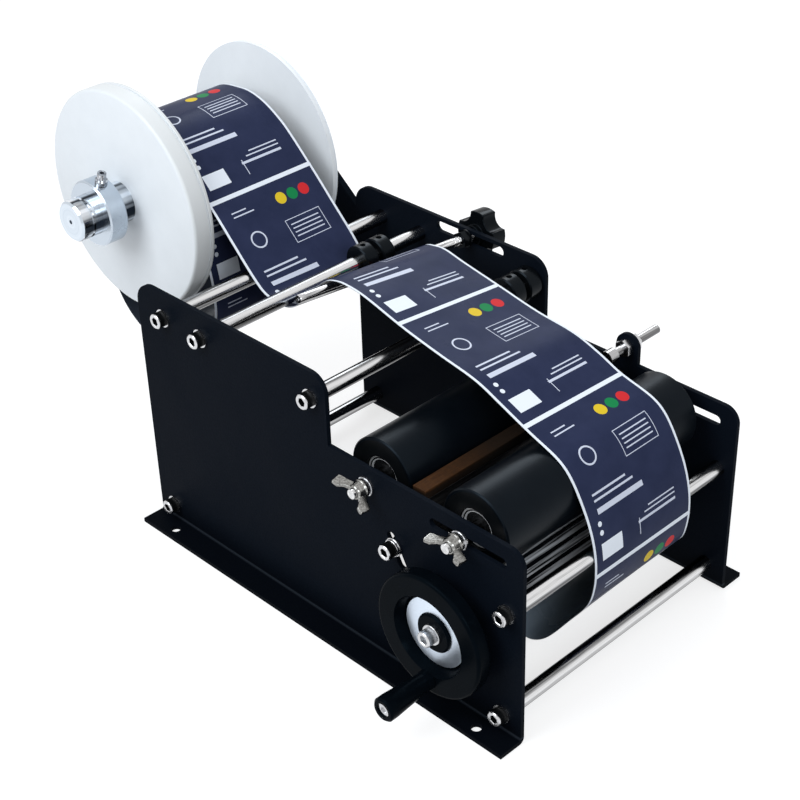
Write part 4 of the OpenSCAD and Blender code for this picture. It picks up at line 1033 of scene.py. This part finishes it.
# ---------------------------------------------------------------- left reel flange
def turn_flange():
    """Thick flange: a small round on its outer edge, a groove near its inner lip, the spigot for the core."""
    low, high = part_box("reel_flange_left")
    face = low[0] / MM + FRAME_W / 2
    radius = (high[2] - low[2]) / 2 / MM
    bore, spigot, thick, deep, fillet = 14.05, 19.95, 16.0, 10.0, 2.2
    angles = [k * math.pi / 12 for k in range(7)]
    edge = [(fillet * (1 - math.cos(a)), radius - fillet * (1 - math.sin(a))) for a in angles]
    groove = [(thick - 4.3, radius), (thick - 4.0, radius - 0.3), (thick - 4.0, radius - 1.2),
              (thick - 2.6, radius - 1.2), (thick - 2.6, radius - 0.3), (thick - 2.3, radius)]
    lip = [(thick - 0.9, radius), (thick - 0.3, radius - 0.3), (thick, radius - 0.9)]
    profile = [(0, bore)] + edge + groove + lip + [(thick, spigot), (thick + deep, spigot), (thick + deep, bore)]
    made = bmesh.new()
    turned(made, [(face + x, r) for x, r in profile], 192, REEL)
    piece = closed_piece("reel_flange_left_turned", made, FINISH["flange_white"])
    piece.data.shade_smooth()
    piece.data.set_sharp_from_angle(angle=math.radians(32))
    stand_for(piece, "flange_white", "reel_flange_left")


turn_flange()


# ---------------------------------------------------------------- guide rod with a threaded end
def build_thread(tree, given):
    """A plain rod that ends in a thread, beside the tip that comes in as geometry."""
    root = calc(tree, "SUBTRACT", given["Radius"], given["Depth"])
    plain = calc(tree, "SUBTRACT", given["Length"], given["Thread"])
    line = node(tree, "GeometryNodeCurveSpiral", {
        "Resolution": 24, "Rotations": calc(tree, "DIVIDE", given["Thread"], given["Pitch"]),
        "Start Radius": root, "End Radius": root, "Height": given["Thread"]})
    ridge = node(tree, "GeometryNodeCurvePrimitiveCircle", {"Resolution": 4, "Radius": given["Depth"]})
    thread = node(tree, "GeometryNodeCurveToMesh", {
        "Curve": line.outputs[0], "Profile Curve": ridge.outputs[0], "Fill Caps": True})

    def lifted(geometry, height):
        lift = node(tree, "ShaderNodeCombineXYZ", {"Z": height}).outputs[0]
        return node(tree, "GeometryNodeTransform", {"Geometry": geometry, "Translation": lift}).outputs[0]

    parts = [given["Geometry"], lifted(thread.outputs[0], plain)]
    for radius, length in ((root, given["Length"]), (given["Radius"], plain)):
        core = node(tree, "GeometryNodeMeshCylinder", {"Vertices": 64, "Radius": radius, "Depth": length})
        parts.append(lifted(core.outputs["Mesh"], calc(tree, "MULTIPLY", length, 0.5)))
    both = node(tree, "GeometryNodeJoinGeometry")
    for part in parts:
        tree.links.new(part, both.inputs[0])
    return finished(tree, realized(tree, both.outputs[0]), given["Finish"])


THREADED_ROD = shape_tree("threaded_rod", [
    ("Radius", FLOAT, 0.003), ("Length", FLOAT, 0.1), ("Thread", FLOAT, 0.02), ("Pitch", FLOAT, 0.001),
    ("Depth", FLOAT, 0.0004), ("Finish", MATERIAL, None)], build_thread)


def thread_guide_rod():
    """The rod lies along z here, from its drilled free end, and is then laid into its slot."""
    made = bmesh.new()
    mark = made.faces.layers.bool.new("bright_face")
    rings = [screw_ring(made, *at) for at in [(6.0, 2.9), (0.5, 2.9), (0.0, 2.5), (0.0, 1.5), (4.0, 1.5)]]
    skin_rings(made, mark, rings)
    close_ring(made, rings[0], 6.0)
    close_ring(made, rings[-1], 4.0)
    piece = closed_piece("guide_rod_threaded", made)
    free_end, inner_end, tip = -150.0, 10.3, 4.6
    piece.data.transform(Matrix.Translation((0, 0, -tip * MM)))
    grow(piece, THREADED_ROD, {
        "Radius": 2.95 * MM, "Length": (inner_end - free_end - tip) * MM, "Thread": 26 * MM, "Pitch": 1.0 * MM,
        "Depth": 0.3 * MM, "Finish": FINISH["thread_steel"]}, 40.0)
    sine, cosine = math.sin(GUIDE_LEAN), math.cos(GUIDE_LEAN)
    turn = Matrix(((-sine, 0, cosine), (0, 1, 0), (-cosine, 0, -sine))).to_4x4()
    slot_middle = place(FRAME_W - 1.5, *GUIDE)
    piece.data.transform(Matrix.Translation(slot_middle) @ turn @ Matrix.Translation((0, 0, (free_end + tip) * MM)))
    stand_for(piece, "rod_steel", "guide_rod")


thread_guide_rod()


# ---------------------------------------------------------------- rounded edges on sheet metal and small hardware
def soften(name, node_name, width, segments=2, sharp=40.0):
    """A copy of a node of the frame whose sharp edges are rounded by width, in mm."""
    made = bmesh.new()
    made.from_mesh(frame["nodes"][node_name].data)
    bmesh.ops.remove_doubles(made, verts=made.verts[:], dist=2e-6)
    bmesh.ops.dissolve_limit(made, angle_limit=math.radians(0.6), verts=made.verts[:], edges=made.edges[:])
    slot = SLOT_OF[node_name]
    piece = new_piece(name, mesh_from(name, made), [OWN_FINISH.get(node_name, FINISH[slot])])
    piece.data.shade_smooth()
    rounding = piece.modifiers.new("rounding", "BEVEL")
    rounding.width = width * MM
    rounding.segments = segments
    rounding.limit_method = "ANGLE"
    rounding.angle_limit = math.radians(sharp)
    rounding.use_clamp_overlap = True
    flat = piece.modifiers.new("flat", "WEIGHTED_NORMAL")
    flat.mode = "FACE_AREA"
    flat.weight = 100
    settle(piece)
    stand_for(piece, slot, node_name)


EDGES = {"side_plate_left": 0.5, "side_plate_right": 0.5, "reel_arm": 0.6, "peel_plate": 0.4, "peel_strip": 0.4}
for node_name, width in EDGES.items():
    soften(node_name + "_rounded", node_name, width)
soften("star_knob_rounded", "star_knob", 1.6, 3)
